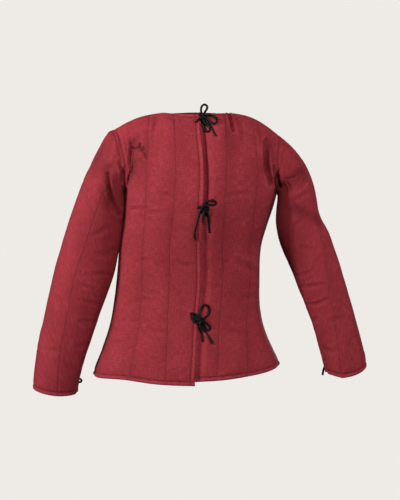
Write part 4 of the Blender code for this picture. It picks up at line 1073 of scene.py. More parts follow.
@dataclass(frozen=True)
class StudioPaper:
    """Matt paper sheet, coated plain. It gives a pale even ground with no grain."""

    name: str
    colour: str
    glow: float = 0.0  # its own light, for a backdrop that no lamp reaches

    def make(self) -> bpy.types.Material:
        """Build the material.

        Returns:
            The material.
        """
        finish = bpy.data.materials.new(self.name)
        finish.use_nodes = True
        shader = {
            "Base Color": linear("000000" if self.glow else self.colour),
            "Roughness": 1.0,
            "Specular IOR Level": 0.0 if self.glow else 0.2,
            "Emission Color": linear(self.colour),
            "Emission Strength": self.glow,
        }
        feed(finish.node_tree, finish.node_tree.nodes["Principled BSDF"], shader)
        return finish


# ---------------------------------------------------------------- cloth walls
def spread(near_start: Sequence[float], near_end: Sequence[float], total: Array, count: int) -> Array:
    """Distances across a width: close together near both ends and even between.

    Args:
        near_start: distances from the start.
        near_end: distances from the end.
        total: widths, one for each row.
        count: even distances between.

    Returns:
        Rising distances along a last axis.
    """
    total = np.asarray(total, float)[..., None]
    start = near_start[-1] + 0 * total
    end = total - near_end[-1]
    even = start + (end - start) * np.linspace(0, 1, count + 2)[1:-1]
    return np.concatenate([np.array(near_start) + 0 * total, even, total - np.array(near_end[::-1])], axis=-1)


def run_length(points: Array, axis: int) -> Array:
    """Distance along a grid's lines from their starts.

    Args:
        points: grid of points.
        axis: 0 to run along the columns and 1 along the rows.

    Returns:
        The distance at each point.
    """
    steps = np.linalg.norm(np.diff(points, axis=axis), axis=-1)
    start = np.zeros_like(np.take(steps, [0], axis=axis))
    return np.cumsum(np.concatenate([start, steps], axis=axis), axis=axis)


def edge_inset(distance: Array) -> Array:
    """How far the outer face lies in at distances from a turned and topstitched edge."""
    return np.interp(distance, [roll.distance for roll in EDGE_ROLL], [roll.inset for roll in EDGE_ROLL])


def fold_depth(points: Array, normals: Array, fold: Fold) -> Array:
    """How far one fold presses the cloth in.

    Args:
        points: grid of points.
        normals: outward directions there.
        fold: the fold.

    Returns:
        The depth at each point, below 0 where the cloth beside the fold rises.
    """
    route = np.array(fold.route)
    if len(route) > 2:
        curve = Curve([(index, *place) for index, place in enumerate(fold.route)])
        route = curve.at(np.linspace(0, len(route) - 1, FOLD_STEPS))
    runs = run_length(route[:, None], 0)[:, 0]
    nearest, share = np.full(points.shape[:2], np.inf), np.zeros(points.shape[:2])
    for start, end, run in zip(route, route[1:], runs):
        length = np.linalg.norm(end - start)
        along = (end - start) / length
        offset = points[..., (0, 2)] - start
        reach = np.clip(offset @ along, 0, length)
        distance = np.linalg.norm(offset - reach[..., None] * along, axis=-1)
        share = np.where(distance < nearest, (run + reach) / runs[-1], share)
        nearest = np.minimum(distance, nearest)
    seen = np.clip(normals[..., 1] * fold.facing.value * FOLD_SEEN, 0, 1)
    profile = bump(nearest, fold.width)
    if fold.flank:
        raised = bump(nearest - fold.width * FLANK_AT, fold.width * FLANK_WIDTH)
        taper = FOLD_END + (1 - FOLD_END) * np.sin(np.pi * np.clip(share, FOLD_TAPER, 1 - FOLD_TAPER))
        profile = (profile - fold.flank * raised) * taper
    return fold.depth * profile * seen


@dataclass
class ClothPiece:
    """One cut and quilted piece, laid out on a grid of lines across and along its channels: two faces and a rim."""

    name: str
    flat: tuple[float, float]
    seed: int
    folds: tuple = ()
    closed: bool = False
    low: float = 0.0
    high: float = 2.0
    channels: int = 4
    rows: int = 190
    columns: int = 13  # even lines in the middle of a channel
    first_edge: tuple = NEAR_LINE
    bottom_edge: tuple = NEAR_EDGE
    top_edge: tuple = NEAR_EDGE

    def point(self, across: Array, along: Array) -> Array:
        """Points of the piece's form."""
        raise NotImplementedError

    def direction(self, across: Array, along: Array) -> Array:
        """Outward directions of the piece's form."""
        raise NotImplementedError

    def relief(self) -> tuple[Array, Array]:
        """How far the outer face is drawn in, and how far both faces are."""
        raise NotImplementedError

    def lay_grid(self) -> None:
        """Lay the grid: its places, points, directions and distances from its lines and ends."""
        steps = np.linspace(self.low, self.high, 201)
        lines = np.arange(self.channels + 1)
        widths = np.linalg.norm(np.diff(self.point(lines[None, :], steps[:, None]), axis=1), axis=-1)
        parts = []
        for channel in range(self.channels):
            start = self.first_edge if channel == 0 else NEAR_LINE
            gaps = spread(start, NEAR_LINE, widths[:, channel], self.columns)
            parts.append(channel + gaps[:, :-1] / widths[:, channel, None])
        across = np.concatenate([*parts, np.full((len(steps), 1), float(self.channels))], axis=1)
        runs = run_length(self.point(across, steps[:, None]), 0)
        gaps = spread(self.bottom_edge, self.top_edge, runs[-1], self.rows)
        count = across.shape[1]
        self.along = np.stack([np.interp(gaps[c], runs[:, c], steps) for c in range(count)], axis=1)
        self.across = np.stack([np.interp(self.along[:, c], steps, across[:, c]) for c in range(count)], axis=1)
        self.from_bottom = gaps.T
        self.from_top = runs[-1] - gaps.T
        self.points = self.point(self.across, self.along)
        self.normals = self.direction(self.across, self.along)
        channel = np.minimum(self.across[0].round(9).astype(int), self.channels - 1)
        width = np.stack([np.interp(self.along[:, c], steps, widths[:, channel[c]]) for c in range(count)], axis=1)
        self.share = self.across - channel
        self.from_start = self.across * width
        self.from_line = np.minimum(self.share, 1 - self.share) * width
        self.u = run_length(self.points, 1)
        self.v = run_length(self.points, 0)

    def channel_inset(self) -> Array:
        """Quilting of the outer face: full channels between narrow, slightly puckered lines.

        Returns:
            How far it draws the face in.
        """
        full = QUILT_DEPTH * (1 - np.abs(np.sin(np.pi * np.clip(self.share, 0, 1))) ** FULLNESS)
        chance = Unevenness(self.seed)
        line = np.round(self.across)
        slant = self.from_line * np.where(self.share < 0.5, PUCKER_SLANT, -PUCKER_SLANT)
        drift = 3 * chance.at(line * 0.31, self.v, PUCKER_DRIFT)
        strength = 0.6 + 0.5 * chance.at(line * 0.17, self.v, PUCKER_PATCH)
        reach = bump(self.from_line, PUCKER_REACH) - bump(self.from_line, PUCKER_START)
        pucker = PUCKER_DEPTH * strength * np.sin(2 * np.pi * (self.v + slant) / PUCKER_LENGTH + drift) * reach
        return full + GROOVE_DEPTH * bump(self.from_line, GROOVE_WIDTH) + pucker

    def seam_inset(self, inset: Array, distance: Array, width: float = SEAM_EASE) -> Array:
        """Let the quilting's depth fade towards a seam, where the outer face turns in a little.

        Args:
            inset: how far the outer face is drawn in.
            distance: distance from the seam.
            width: how far from the seam the quilting is shallower.

        Returns:
            The new depths.
        """
        return inset * (1 - bump(distance, width)) + SEAM_INSET * bump(distance, SEAM_WIDTH)

    def unevenness(self) -> Array:
        """Swells and lumps of the padding and short ripples across it, none at the piece's ends and sides.

        Returns:
            How far they draw both faces in.
        """
        chance = Unevenness(self.seed + 50)
        swell = SWELL_DEPTH * chance.at(self.u, self.v, SWELL_SIZE)
        lumps = LUMP_DEPTH * chance.at(self.u + 1, self.v, LUMP_SIZE)
        patches = np.maximum(chance.at(self.u + 3, self.v, RIPPLE_PATCH), 0)
        ripple = chance.at(self.u * RIPPLE_SQUEEZE + 2, self.v, RIPPLE_SIZE) * patches
        swell = swell + lumps + RIPPLE_DEPTH * ripple * (1 - bump(self.from_line, RIPPLE_CLEAR))
        side = np.minimum(self.u, self.u[:, -1:] - self.u) if not self.closed else 1 + 0 * self.u
        inside = np.minimum(np.minimum(self.from_bottom, self.from_top), side)
        return swell * (1 - bump(inside, EVEN_EDGE))

    def pressed(self, quiet: Array) -> Array:
        """Depth of all the folds together.

        Args:
            quiet: share of their depth that the folds keep, less beside the seams.

        Returns:
            The depth at each point.
        """
        return quiet * sum((fold_depth(self.points, self.normals, fold) for fold in self.folds), 0 * quiet)

    def shade(self, inset: Array, recess: Array) -> Array:
        """Tone of the cloth: painted shade in stitching and folds, painted highlight beside folds, paler on rubbed
        edges.

        Args:
            inset: how far the outer face is drawn in.
            recess: how far both faces are.

        Returns:
            The tone, 1 on plain cloth.
        """
        # Painted shade: darker where stitching and seams draw the outer face in, and where folds press the cloth in
        lines = LINE_PAINTED_SHADE * np.clip(inset / LINE_PAINTED_SHADE_DEPTH, 0, 1) ** LINE_PAINTED_SHADE_POWER
        shade = 1 - lines - FOLD_PAINTED_SHADE * np.clip(recess / FOLD_PAINTED_SHADE_DEPTH, 0, 1)
        # Paler along open edges by wear, and on the raised cloth beside folds by a painted highlight
        edges = EDGE_WEAR * bump(self.rim_distance() - EDGE_WEAR_AT, EDGE_WEAR_WIDTH)
        return shade + (edges + CREST_PAINTED_HIGHLIGHT * np.clip(-recess / CREST_PAINTED_HIGHLIGHT_HEIGHT, 0, 1))

    def build(self, finish: bpy.types.Material) -> bpy.types.Object:
        """Build the piece's mesh and dress it.

        Args:
            finish: cotton.

        Returns:
            The finished object.
        """
        self.lay_grid()
        inset, recess = self.relief()
        shade = self.shade(inset, recess)
        recess = recess + self.lap_recess() + self.unevenness()
        recess = recess + self.dents(self.points - self.normals * (inset + recess)[..., None])
        outer = self.points - self.normals * (inset + recess)[..., None]
        rim = np.minimum(self.rim_distance(), RIM_ROUND) / RIM_ROUND
        inner_inset = WALL - RIM_PINCH * (1 - rim) ** 2
        inner = self.points - self.normals * (inner_inset + recess)[..., None]
        self.outer = outer
        form = bmesh.new()
        rows, columns = self.points.shape[:2]
        bmesh.ops.create_grid(form, x_segments=columns - 1, y_segments=rows - 1, size=1.0, calc_uvs=True)
        weave = form.loops.layers.uv.verify()
        row_of, column_of = form.verts.layers.int.new("row"), form.verts.layers.int.new("column")
        # Each point's tone, with its painted shade and painted highlight, goes to a layer that the material reads
        height = form.verts.layers.float.new("relief")
        for vertex in form.verts:
            row = round((vertex.co.y + 1) / 2 * (rows - 1))
            column = round((vertex.co.x + 1) / 2 * (columns - 1))
            vertex[row_of], vertex[column_of] = row, column
            vertex[height] = shade[row, column]
            vertex.co = outer[row, column]
        for face in form.faces:
            for loop in face.loops:
                row, column = loop.vert[row_of], loop.vert[column_of]
                loop[weave].uv = (self.u[row, column], self.v[row, column])
        if self.closed:
            ends = [vertex for vertex in form.verts if vertex[column_of] in (0, columns - 1)]
            bmesh.ops.remove_doubles(form, verts=ends, dist=1e-6)
        made = bmesh.ops.extrude_face_region(form, geom=form.faces[:], use_keep_orig=True)
        for vertex in made["geom"]:
            if isinstance(vertex, bmesh.types.BMVert):
                vertex.co = inner[vertex[row_of], vertex[column_of]]
                # The inner face gets painted shade: a tone near the darkest colour
                vertex[height] = INSIDE_PAINTED_SHADE
        bmesh.ops.recalc_face_normals(form, faces=form.faces[:])
        mesh = bpy.data.meshes.new(self.name)
        form.to_mesh(mesh)
        form.free()
        mesh.uv_layers[0].name = "weave"
        mesh.shade_smooth()
        piece = bpy.data.objects.new(f"{self.name}_quilted", mesh)
        bpy.context.scene.collection.objects.link(piece)
        mesh.materials.append(finish)
        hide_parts(self.name)
        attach(piece, "root")
        LOG.info("%s: %d faces", piece.name, len(mesh.polygons))
        return piece

    def rim_distance(self) -> Array:
        """Distance to the nearest open edge."""
        return self.from_bottom

    def lap_recess(self) -> Array:
        """How far the piece lies in where another laps over it."""
        return 0 * self.u

    def dents(self, outer: Array) -> Array:
        """How far the laces that lie on the piece press it in."""
        return 0 * outer[..., 0]

    def stitch_lines(self) -> list[tuple[Array, Array]]:
        """Points and outward directions along each line of stitching."""
        raise NotImplementedError

    def sew(self, finish: bpy.types.Material) -> bpy.types.Object:
        """Sew the quilting and the turned edges with thread.

        Args:
            finish: thread.

        Returns:
            All the piece's stitches.
        """
        return Stitching().build(f"{self.name}_stitches", self.stitch_lines(), finish)


@dataclass
class Panel(ClothPiece):
    """A front or the back, from the hem (0) by the underarm (1) to the top (2)."""

    lines: tuple = ()
    facing: Facing = Facing.FRONT
    armholes: tuple = (None, None)  # at its first and at its last column, or None at the centre front
    hem_curves: tuple = ()  # to the wearer's left, and to the wearer's right, of the centre back
    lap_edge: Optional[Array] = None
    first_columns: tuple = (0.0, 0.12, 0.50, 0.88)

    def __post_init__(self) -> None:
        """Work out the sizes that follow from the lines."""
        self.channels = len(self.lines) - 1
        self.table = np.array([tuple(line) for line in self.lines])
        self.sense = math.copysign(1, self.lines[-1].chest - self.lines[0].chest)
        self.ends = [(edge, arm) for edge, arm in zip((0, self.channels), self.armholes) if arm is not None]
        self.pace_curves = {}
        self.settle_directions()

    def column(self, place: Array) -> list[Array]:
        """The quilting line's four sizes at places counted in channels."""
        return [np.interp(place, np.arange(len(self.lines)), self.table[:, size]) for size in range(4)]

    def hem_z(self, angle: Array) -> Array:
        """Height of the hem at angles round the body."""
        near, far = self.hem_curves
        return np.where(angle <= 180, near.at(angle)[..., 0], far.at(angle - 360)[..., 0])

    def lower_point(self, place: Array, share: Array) -> Array:
        """Points between the hem and the underarm.

        Args:
            place: across the panel, counted in channels.
            share: 0 at the hem to 1 at the underarm.

        Returns:
            The points.
        """
        hem_angle, waist_angle, chest_angle, _ = self.column(place)
        hem = self.hem_z(hem_angle)
        z = hem + (UNDERARM_Z - hem) * share
        weights = blend((LINE_HEM_Z, LINE_WAIST_Z, LINE_CHEST_Z), np.clip(z, LINE_HEM_Z, LINE_CHEST_Z))
        angle = np.sum(weights * line_up(hem_angle + 0 * z, waist_angle, chest_angle), axis=-1)
        return body_point(angle, z)

    def free_upper_point(self, place: Array, share: Array) -> Array:
        """Points between the underarm and the top, as if there were no armhole.

        Args:
            place: across the panel, counted in channels.
            share: 0 at the underarm to 1 at the top.

        Returns:
            The points.
        """
        place, share = np.broadcast_arrays(place, share)
        _, _, chest_angle, top_x = self.column(place)
        flat = np.full_like(chest_angle, UNDERARM_Z)
        start = body_point(chest_angle, flat)
        rise = (body_point(chest_angle, flat + STEP) - body_point(chest_angle, flat - STEP)) / (2 * STEP)
        end = top_point(top_x, self.facing)
        reach = np.linalg.norm(end - start, axis=-1, keepdims=True)
        outer = ease(np.abs(top_x - NECK_MID_X) / NECK_HALF_WIDTH)[..., None]
        at_neck = np.array((0.0, -self.facing.value * NECK_LEAN, 1.0))
        at_shoulder = np.array((0.0, -self.facing.value, 0.0))
        slope = (at_neck * (1 - outer) + at_shoulder * outer) * reach
        return hermite(start, rise * reach, end, slope, share[..., None])

    def pace(self, edge: int, seam: ArmholeSeam, share: Array) -> Array:
        """Share of the way up the panel's side at which the form is as high as its armhole is at a share of its own
        way, so that the rows stay level.

        Args:
            edge: the panel's first or last line.
            seam: the armhole there.
            share: 0 at the underarm to 1 at the shoulder, along the armhole.

        Returns:
            The shares of the panel's side.
        """
        if edge not in self.pace_curves:
            steps = np.linspace(0, 1, PACE_STEPS)
            heights = np.maximum.accumulate(self.free_upper_point(np.full_like(steps, edge), steps)[:, 2])
            self.pace_curves[edge] = (heights, steps)
        heights, steps = self.pace_curves[edge]
        height = seam.point(180 + self.facing.value * 180 * share)[..., 2]
        level = np.interp(height, heights, steps)
        return level + (share - level) * ease((share - PACE_LEVEL) / (1 - PACE_LEVEL))

    def upper_point(self, place: Array, rise: Array) -> Array:
        """Points between the underarm and the top, drawn to the armhole at the panel's side.

        Args:
            place: across the panel, counted in channels.
            rise: 0 at the underarm to 1 at the top.

        Returns:
            The points.
        """
        place, rise = np.broadcast_arrays(np.asarray(place, float), np.asarray(rise, float))
        paces = [self.pace(edge, seam, rise) for edge, seam in self.ends]
        share = paces[0]
        if len(paces) == 2:
            share = paces[0] + (paces[1] - paces[0]) * place / self.channels
        point = self.free_upper_point(place, share)
        centre = 0 if self.facing is Facing.FRONT else 180
        pull = ease((np.abs(self.column(place)[2] - centre) / 90 - ARMHOLE_PULL) / (1 - ARMHOLE_PULL))
        level = ease(rise / ARMHOLE_RISE)
        pull = pull * (level + (1 - level) * pull**3)
        for (edge, seam), own in zip(self.ends, paces):
            nearer = np.abs(place - edge) < self.channels / 2 if len(paces) == 2 else np.full(place.shape, True)
            at_side = self.free_upper_point(np.full_like(place, edge), own)
            shift = seam.point(180 + self.facing.value * 180 * rise) - at_side
            point = point + shift * (pull * nearer)[..., None]
        return point

    def point(self, across: Array, along: Array) -> Array:
        """Points of the panel's form.

        Args:
            across: place in channels.
            along: 0 at the hem, 1 at the underarm and 2 at the top.

        Returns:
            The points.
        """
        across, along = np.broadcast_arrays(np.asarray(across, float), np.asarray(along, float))
        lower = self.lower_point(across, np.minimum(along, 1))
        upper = self.upper_point(across, np.maximum(along - 1, 0))
        return np.where((along <= 1)[..., None], lower, upper)

    def settle_directions(self) -> None:
        """Outward directions over a coarse grid, evened out above the underarm, where the armhole crowds the form."""
        places = list(self.first_columns)
        for channel in range(1, self.channels):
            places += [channel, channel + 0.12, channel + 0.32, channel + 0.50, channel + 0.88]
        self.coarse_places = np.array([*places, self.channels], float)
        self.coarse_heights = np.array([*np.linspace(0, 1, 18)[:-1], *(1 + np.array(SEAM_HEIGHTS))])
        place, height = np.meshgrid(self.coarse_places, self.coarse_heights)
        left, right = np.maximum(place - STEP, 0), np.minimum(place + STEP, self.channels)
        low, high = np.maximum(height - STEP, 0), np.minimum(height + STEP, 2)
        across = (self.point(right, height) - self.point(left, height)) / (right - left)[..., None]
        up = (self.point(place, high) - self.point(place, low)) / (high - low)[..., None]
        raw = np.cross(across, up) * self.sense
        first = int(np.argmax(self.coarse_heights >= 1))
        for _ in range(SETTLING_ROUNDS):
            settled = raw.copy()
            settled[first:-1, 1:-1] += raw[first - 1 : -2, 1:-1] + raw[first + 1 :, 1:-1]
            settled[first:-1, 1:-1] += raw[first:-1, :-2] + raw[first:-1, 2:]
            settled[first:-1, 1:-1] /= 5
            raw = settled
        self.coarse = unit(raw)
        rows = slice(first + 1, None)
        for seam, column, beside in zip(self.armholes, (0, -1), (1, -2)):
            if seam is not None:
                angles = 180 + self.facing.value * 180 * (self.coarse_heights[rows] - 1)
                self.coarse[rows, column] = seam.rim(angles, self.coarse[rows, beside])

    def direction(self, across: Array, along: Array) -> Array:
        """Outward directions between those of the coarse grid.

        Args:
            across: place in channels.
            along: 0 at the hem, 1 at the underarm and 2 at the top.

        Returns:
            The directions.
        """
        column = np.clip(np.searchsorted(self.coarse_places, across, side="right") - 1, 0, len(self.coarse_places) - 2)
        row = np.clip(np.searchsorted(self.coarse_heights, along, side="right") - 1, 0, len(self.coarse_heights) - 2)
        right = (across - self.coarse_places[column]) / np.diff(self.coarse_places)[column]
        up = (along - self.coarse_heights[row]) / np.diff(self.coarse_heights)[row]
        right, up = right[..., None], up[..., None]
        low = self.coarse[row, column] * (1 - right) + self.coarse[row, column + 1] * right
        high = self.coarse[row + 1, column] * (1 - right) + self.coarse[row + 1, column + 1] * right
        return unit(low * (1 - up) + high * up)

    def on_neck(self) -> Array:
        """1 where the top edge is the neck, 0 where it is a shoulder seam."""
        from_middle = np.abs(self.column(self.across)[3] - NECK_MID_X)
        return ease((NECK_HALF_WIDTH + NECK_BLEND - from_middle) / (2 * NECK_BLEND))

    def rim_distance(self) -> Array:
        """Distance to the nearest open edge."""
        distance = np.minimum(self.from_bottom, self.from_top / np.maximum(self.on_neck(), 0.05))
        return np.minimum(distance, self.from_start) if self.armholes[0] is None else distance

    def relief(self) -> tuple[Array, Array]:
        """Quilting, turned edges, seams and folds.

        Returns:
            How far the outer face is drawn in, and how far both faces are.
        """
        neck = self.on_neck()
        inset = self.channel_inset()
        inset = inset * (1 - TOP_EASE * (1 - neck) * (1 - ease(self.from_top / TOP_EASE_LENGTH)))
        inset = self.seam_inset(inset, self.from_top + NECK_AWAY * neck, SHOULDER_SEAM_EASE)
        if self.armholes[0] is None:
            beside_seam = bump(self.across - (self.channels - 1), SIDE_LINE_WIDTH)
            inset = inset * (1 - SIDE_LINE_EASE * beside_seam * (1 - ease(self.from_top / SIDE_LINE_TOP)))
        quiet = np.ones_like(inset)
        for seam, distance in zip(self.armholes, (self.u, self.u[:, -1:] - self.u)):
            if seam is not None:
                at_underarm = bump(distance, UNDERARM_WIDTH) * bump(self.along - 1, UNDERARM_RISE)
                inset = self.seam_inset(inset, distance) * (1 - at_underarm)
                quiet = quiet * (1 - bump(distance, PANEL_SEAM_QUIET))
        if self.armholes[0] is None:
            inset = np.where(self.across < PLAIN_EDGE, 0 * inset, inset)
            inset = np.maximum(inset, edge_inset(self.from_start))
        inset = np.maximum(inset, edge_inset(self.from_bottom))
        inset = np.maximum(inset, edge_inset(self.from_top) * neck)
        pressed = self.pressed(quiet)
        self.part_seams()
        return inset, pressed

    def lap_recess(self) -> Array:
        """Drop of the front that another laps over.

        Returns:
            How far it lies in.
        """
        if self.lap_edge is None:
            return 0 * self.u
        past = self.points[..., 0] - np.interp(self.points[..., 2], self.lap_edge[:, 2], self.lap_edge[:, 0])
        return (WALL + LAP_GAP) * (1 - ease((past - LAP_LEVEL) / LAP_RAMP))

    def dents(self, outer: Array) -> Array:
        """How far the laces that lie on the piece press it in, so that they rest on it.

        Args:
            outer: the outer face without them.

        Returns:
            The depth at each point.
        """
        depth = 0 * outer[..., 0]
        for cord in CORDS:
            for point in cord.along(DENT_STEPS):
                away = np.hypot(outer[..., 0] - point[0], outer[..., 2] - point[2])
                need = np.clip(point[1] + LACE_REST - outer[..., 1], 0, DENT_LIMIT)
                depth = np.maximum(depth, need * bump(away, DENT_WIDTH))
        return depth * (self.facing is Facing.FRONT)

    def stitch_lines(self) -> list[tuple[Array, Array]]:
        """The quilting lines, but not a front's edge or a seam, and the topstitching along the open edges.

        Returns:
            Points and outward directions along each.
        """
        seam_row = self.bottom_edge.index(TOPSTITCH)
        lines = []
        for channel in range(1, self.channels):
            column = int(np.argmin(np.abs(self.across[0] - channel)))
            last = -3
            if self.armholes[0] is None and channel == self.channels - 1:
                last = int(np.argmax(self.from_top[:, column] < SIDE_LINE_TOP))
            lines.append((self.outer[seam_row:last, column], self.normals[seam_row:last, column]))
        first = 0
        if self.armholes[0] is None:
            first = seam_row
            lines.append((self.outer[seam_row : -seam_row - 1, first], self.normals[seam_row : -seam_row - 1, first]))
        lines.append((self.outer[seam_row, first:], self.normals[seam_row, first:]))
        at_neck = (np.arange(self.u.shape[1]) >= first) & (self.on_neck()[-1] > 0.9)
        row = -seam_row - 1
        lines.append((self.outer[row, at_neck], self.normals[row, at_neck]))
        return lines

    def part_seams(self) -> None:
        """Draw the sides and the shoulder seams back by half the gap between two pieces."""
        half = SEAM_GAP / 2
        for seam, column in zip(self.armholes, (0, -1)):
            if seam is not None:
                self.points[:, column, 1] += self.facing.value * half
                above = self.along[:, column] >= 1
                self.points[above, column, 0] -= math.copysign(half, seam.x)
        on_shoulder = np.abs(self.points[-1, :, 0] - NECK_MID_X) >= NECK_HALF_WIDTH
        self.points[-1, on_shoulder, 1] += self.facing.value * half


@dataclass
class Sleeve(ClothPiece):
    """A sleeve, from its armhole (0) to its cuff, as a tube with a slit at the cuff's inner side."""

    rings: tuple = ()
    seam: Optional[ArmholeSeam] = None
    arm: Arm = Arm.RIGHT
    closed: bool = True
    channels: int = SLEEVE_CHANNELS
    seam_stitching: float = 0.009  # from the armhole seam to the stitching beside it
    facets: tuple = (0.0, 0.9, 0.5, 0.0, 0.0)  # how flat each channel lies between its lines
    plain_top: float = 0.016  # length below the armhole over which the quilting comes in

    def __post_init__(self) -> None:
        """Work out the sizes that follow from the rings."""
        last, before = self.rings[-1], self.rings[-2]
        self.high = float(last.place)
        self.pace = abs(last.outer_z - before.outer_z) / (last.place - before.place)
        self.keys = [0.0, *(ring.place for ring in self.rings)]
        self.turns = Curve([(0, 0), *((ring.place, ring.turn) for ring in self.rings)])
        self.bottom_edge, self.top_edge = NEAR_SEAM, NEAR_EDGE

    def angle(self, across: Array, along: Array) -> Array:
        """Angle round the arm at places counted in channels."""
        return FIRST_SLEEVE_LINE + 360 / SLEEVE_CHANNELS * across + self.turns.at(along)[..., 0]

    def form_point(self, angle: Array, along: Array) -> Array:
        """Points of the sleeve's form.

        Args:
            angle: degrees round the arm.
            along: place from the armhole, counted in rings.

        Returns:
            The points.
        """
        sine, cosine = np.sin(np.radians(angle))[..., None], np.cos(np.radians(angle))[..., None]
        rows = [self.seam.point(angle)]
        for ring in self.rings:
            middle = np.array(((ring.outer_x + ring.inner_x) / 2, ring.middle_y, (ring.outer_z + ring.inner_z) / 2))
            outward = np.array(((ring.outer_x - ring.inner_x) / 2, 0, (ring.outer_z - ring.inner_z) / 2))
            forward = np.array((0, -ring.half_depth, -ring.front_drop))
            rows.append(middle + outward * cosine + forward * sine)
        return np.einsum("...k,k...c->...c", blend(self.keys, along), np.array(rows))

    def lifted(self, angle: Array, along: Array) -> Array:
        """Places along the sleeve, raised where the slit opens the cuff.

        Args:
            angle: degrees round the arm.
            along: place without the slit.

        Returns:
            The places.
        """
        above = (self.high - along) * self.pace
        share = np.clip(1 - above / SLIT_RISE, 0, 1) * np.clip(1 - np.abs(angle - SLIT_ANGLE) / SLIT_REACH, 0, 1)
        return along - SLIT_HEIGHT * share / self.pace

    def point(self, across: Array, along: Array) -> Array:
        """Points of the sleeve's form, flatter between the quilting lines where its channels are facets.

        Args:
            across: place round the arm, in channels.
            along: place from the armhole, counted in rings.

        Returns:
            The points.
        """
        across, along = np.broadcast_arrays(np.asarray(across, float), np.asarray(along, float))
        angle = self.angle(across, along)
        channel = np.floor(across + 1e-9)
        share = np.clip(across - channel, 0, 1)
        place = self.lifted(angle, along)
        ends = [self.form_point(self.angle(channel + end, along), place) for end in (0, 1)]
        chord = ends[0] + (ends[1] - ends[0]) * share[..., None]
        flat = np.array(self.facets)[channel.astype(int) % self.channels] * ease(along)
        round_point = self.form_point(angle, place)
        return round_point + (chord - round_point) * flat[..., None]

    def direction(self, across: Array, along: Array) -> Array:
        """Outward directions of the sleeve's form.

        Args:
            across: place round the arm, in channels.
            along: place from the armhole, counted in rings.

        Returns:
            The directions.
        """
        angle = self.angle(across, along)
        place = self.lifted(angle, along)
        around = self.form_point(angle + 1, place) - self.form_point(angle - 1, place)
        low, high = np.maximum(place - STEP, 0), np.minimum(place + STEP, self.high)
        down = (self.form_point(angle, high) - self.form_point(angle, low)) / (high - low)[..., None]
        own = unit(np.cross(around, down)) * self.arm.value
        at_seam = np.clip(1 - along / RIM_FADE, 0, 1)[..., None]
        return unit(own * (1 - at_seam) + self.seam.rim(angle, own) * at_seam)

    def rim_distance(self) -> Array:
        """Distance to the cuff's edge."""
        return self.from_top

    def unevenness(self) -> Array:
        """Slight waviness of the padding, none where the sleeve's inner side lies against the body."""
        return super().unevenness() * (1 - self.beside_body())

    def beside_body(self) -> Array:
        """1 where the sleeve's inner side lies against the body, 0 away from it."""
        near = bump(self.angle(self.across, self.along) - 180, BESIDE_BODY_ANGLE)
        return near * (1 - ease((self.along - BESIDE_BODY_END) / BESIDE_BODY_FADE))

    def relief(self) -> tuple[Array, Array]:
        """Quilting, the cuff's turned edge, the armhole seam and folds.

        Returns:
            How far the outer face is drawn in, and how far both faces are.
        """
        inset = np.maximum(self.channel_inset() * (1 - self.beside_body()), edge_inset(self.from_top))
        below = bump(self.angle(self.across, self.along) % 360 - 180, UNDERARM_ANGLE)
        at_underarm = bump(self.from_bottom, UNDERARM_WIDTH) * below
        inset = self.seam_inset(inset, self.from_bottom, self.plain_top) * (1 - at_underarm)
        inset = inset + SEAM_STITCH_DEPTH * bump(self.from_bottom - self.seam_stitching, SEAM_STITCH_WIDTH)
        self.points[0, :, 0] += self.arm.value * SEAM_GAP / 2
        return inset, self.pressed(1 - bump(self.from_bottom, SLEEVE_SEAM_QUIET))

    def stitch_lines(self) -> list[tuple[Array, Array]]:
        """The quilting lines and the rings of stitching beside the armhole and the cuff.

        Returns:
            Points and outward directions along each.
        """
        start, end = self.bottom_edge.index(self.seam_stitching), -self.top_edge.index(TOPSTITCH) - 1
        lines = []
        for channel in range(self.channels):
            column = int(np.argmin(np.abs(self.across[0] - channel)))
            first = max(start, int(np.argmax(self.from_bottom[:, column] > self.plain_top)))
            lines.append((self.outer[first:end, column], self.normals[first:end, column]))
        return [*lines, *((self.outer[row], self.normals[row]) for row in (start, end))]


@dataclass
class Stitching:
    """Lockstitches: short runs of thread that come up out of the cloth and go down again."""

    stitch: float = 0.0044
    pitch: float = 0.0064
    thread: float = 0.0009  # a real thread is 0.5 mm thick; drawn coarser, so that it shows
    rise: float = 0.0003

    def build(self, name: str, lines: list[tuple[Array, Array]], finish: bpy.types.Material) -> bpy.types.Object:
        """Sew along lines.

        Args:
            name: the object's name.
            lines: points and outward directions along each line.
            finish: thread.

        Returns:
            All the stitches.
        """
        curve = bpy.data.curves.new(name, "CURVE")
        curve.dimensions = "3D"
        curve.bevel_depth = self.thread / 2
        curve.bevel_resolution = 0
        for points, outward in lines:
            runs = run_length(points[:, None], 0)[:, 0]
            count = int(runs[-1] / self.pitch)
            for start in np.linspace(0, runs[-1], count, endpoint=False):
                at = start + self.stitch * np.array((0.0, 0.5, 1.0))
                place = np.stack([np.interp(at, runs, points[:, axis]) for axis in range(3)], axis=-1)
                lift = np.stack([np.interp(at, runs, outward[:, axis]) for axis in range(3)], axis=-1)
                place = place + lift * (self.rise * np.array((-1.0, 1.0, -1.0)))[:, None]
                spline = curve.splines.new("POLY")
                spline.points.add(2)
                for point, position in zip(spline.points, place):
                    point.co = (*position, 1)
        thread = bpy.data.objects.new(name, curve)
        bpy.context.scene.collection.objects.link(thread)
        curve.materials.append(finish)
        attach(thread, "root")
        LOG.info("%s: %d stitches", name, len(curve.splines))
        return thread


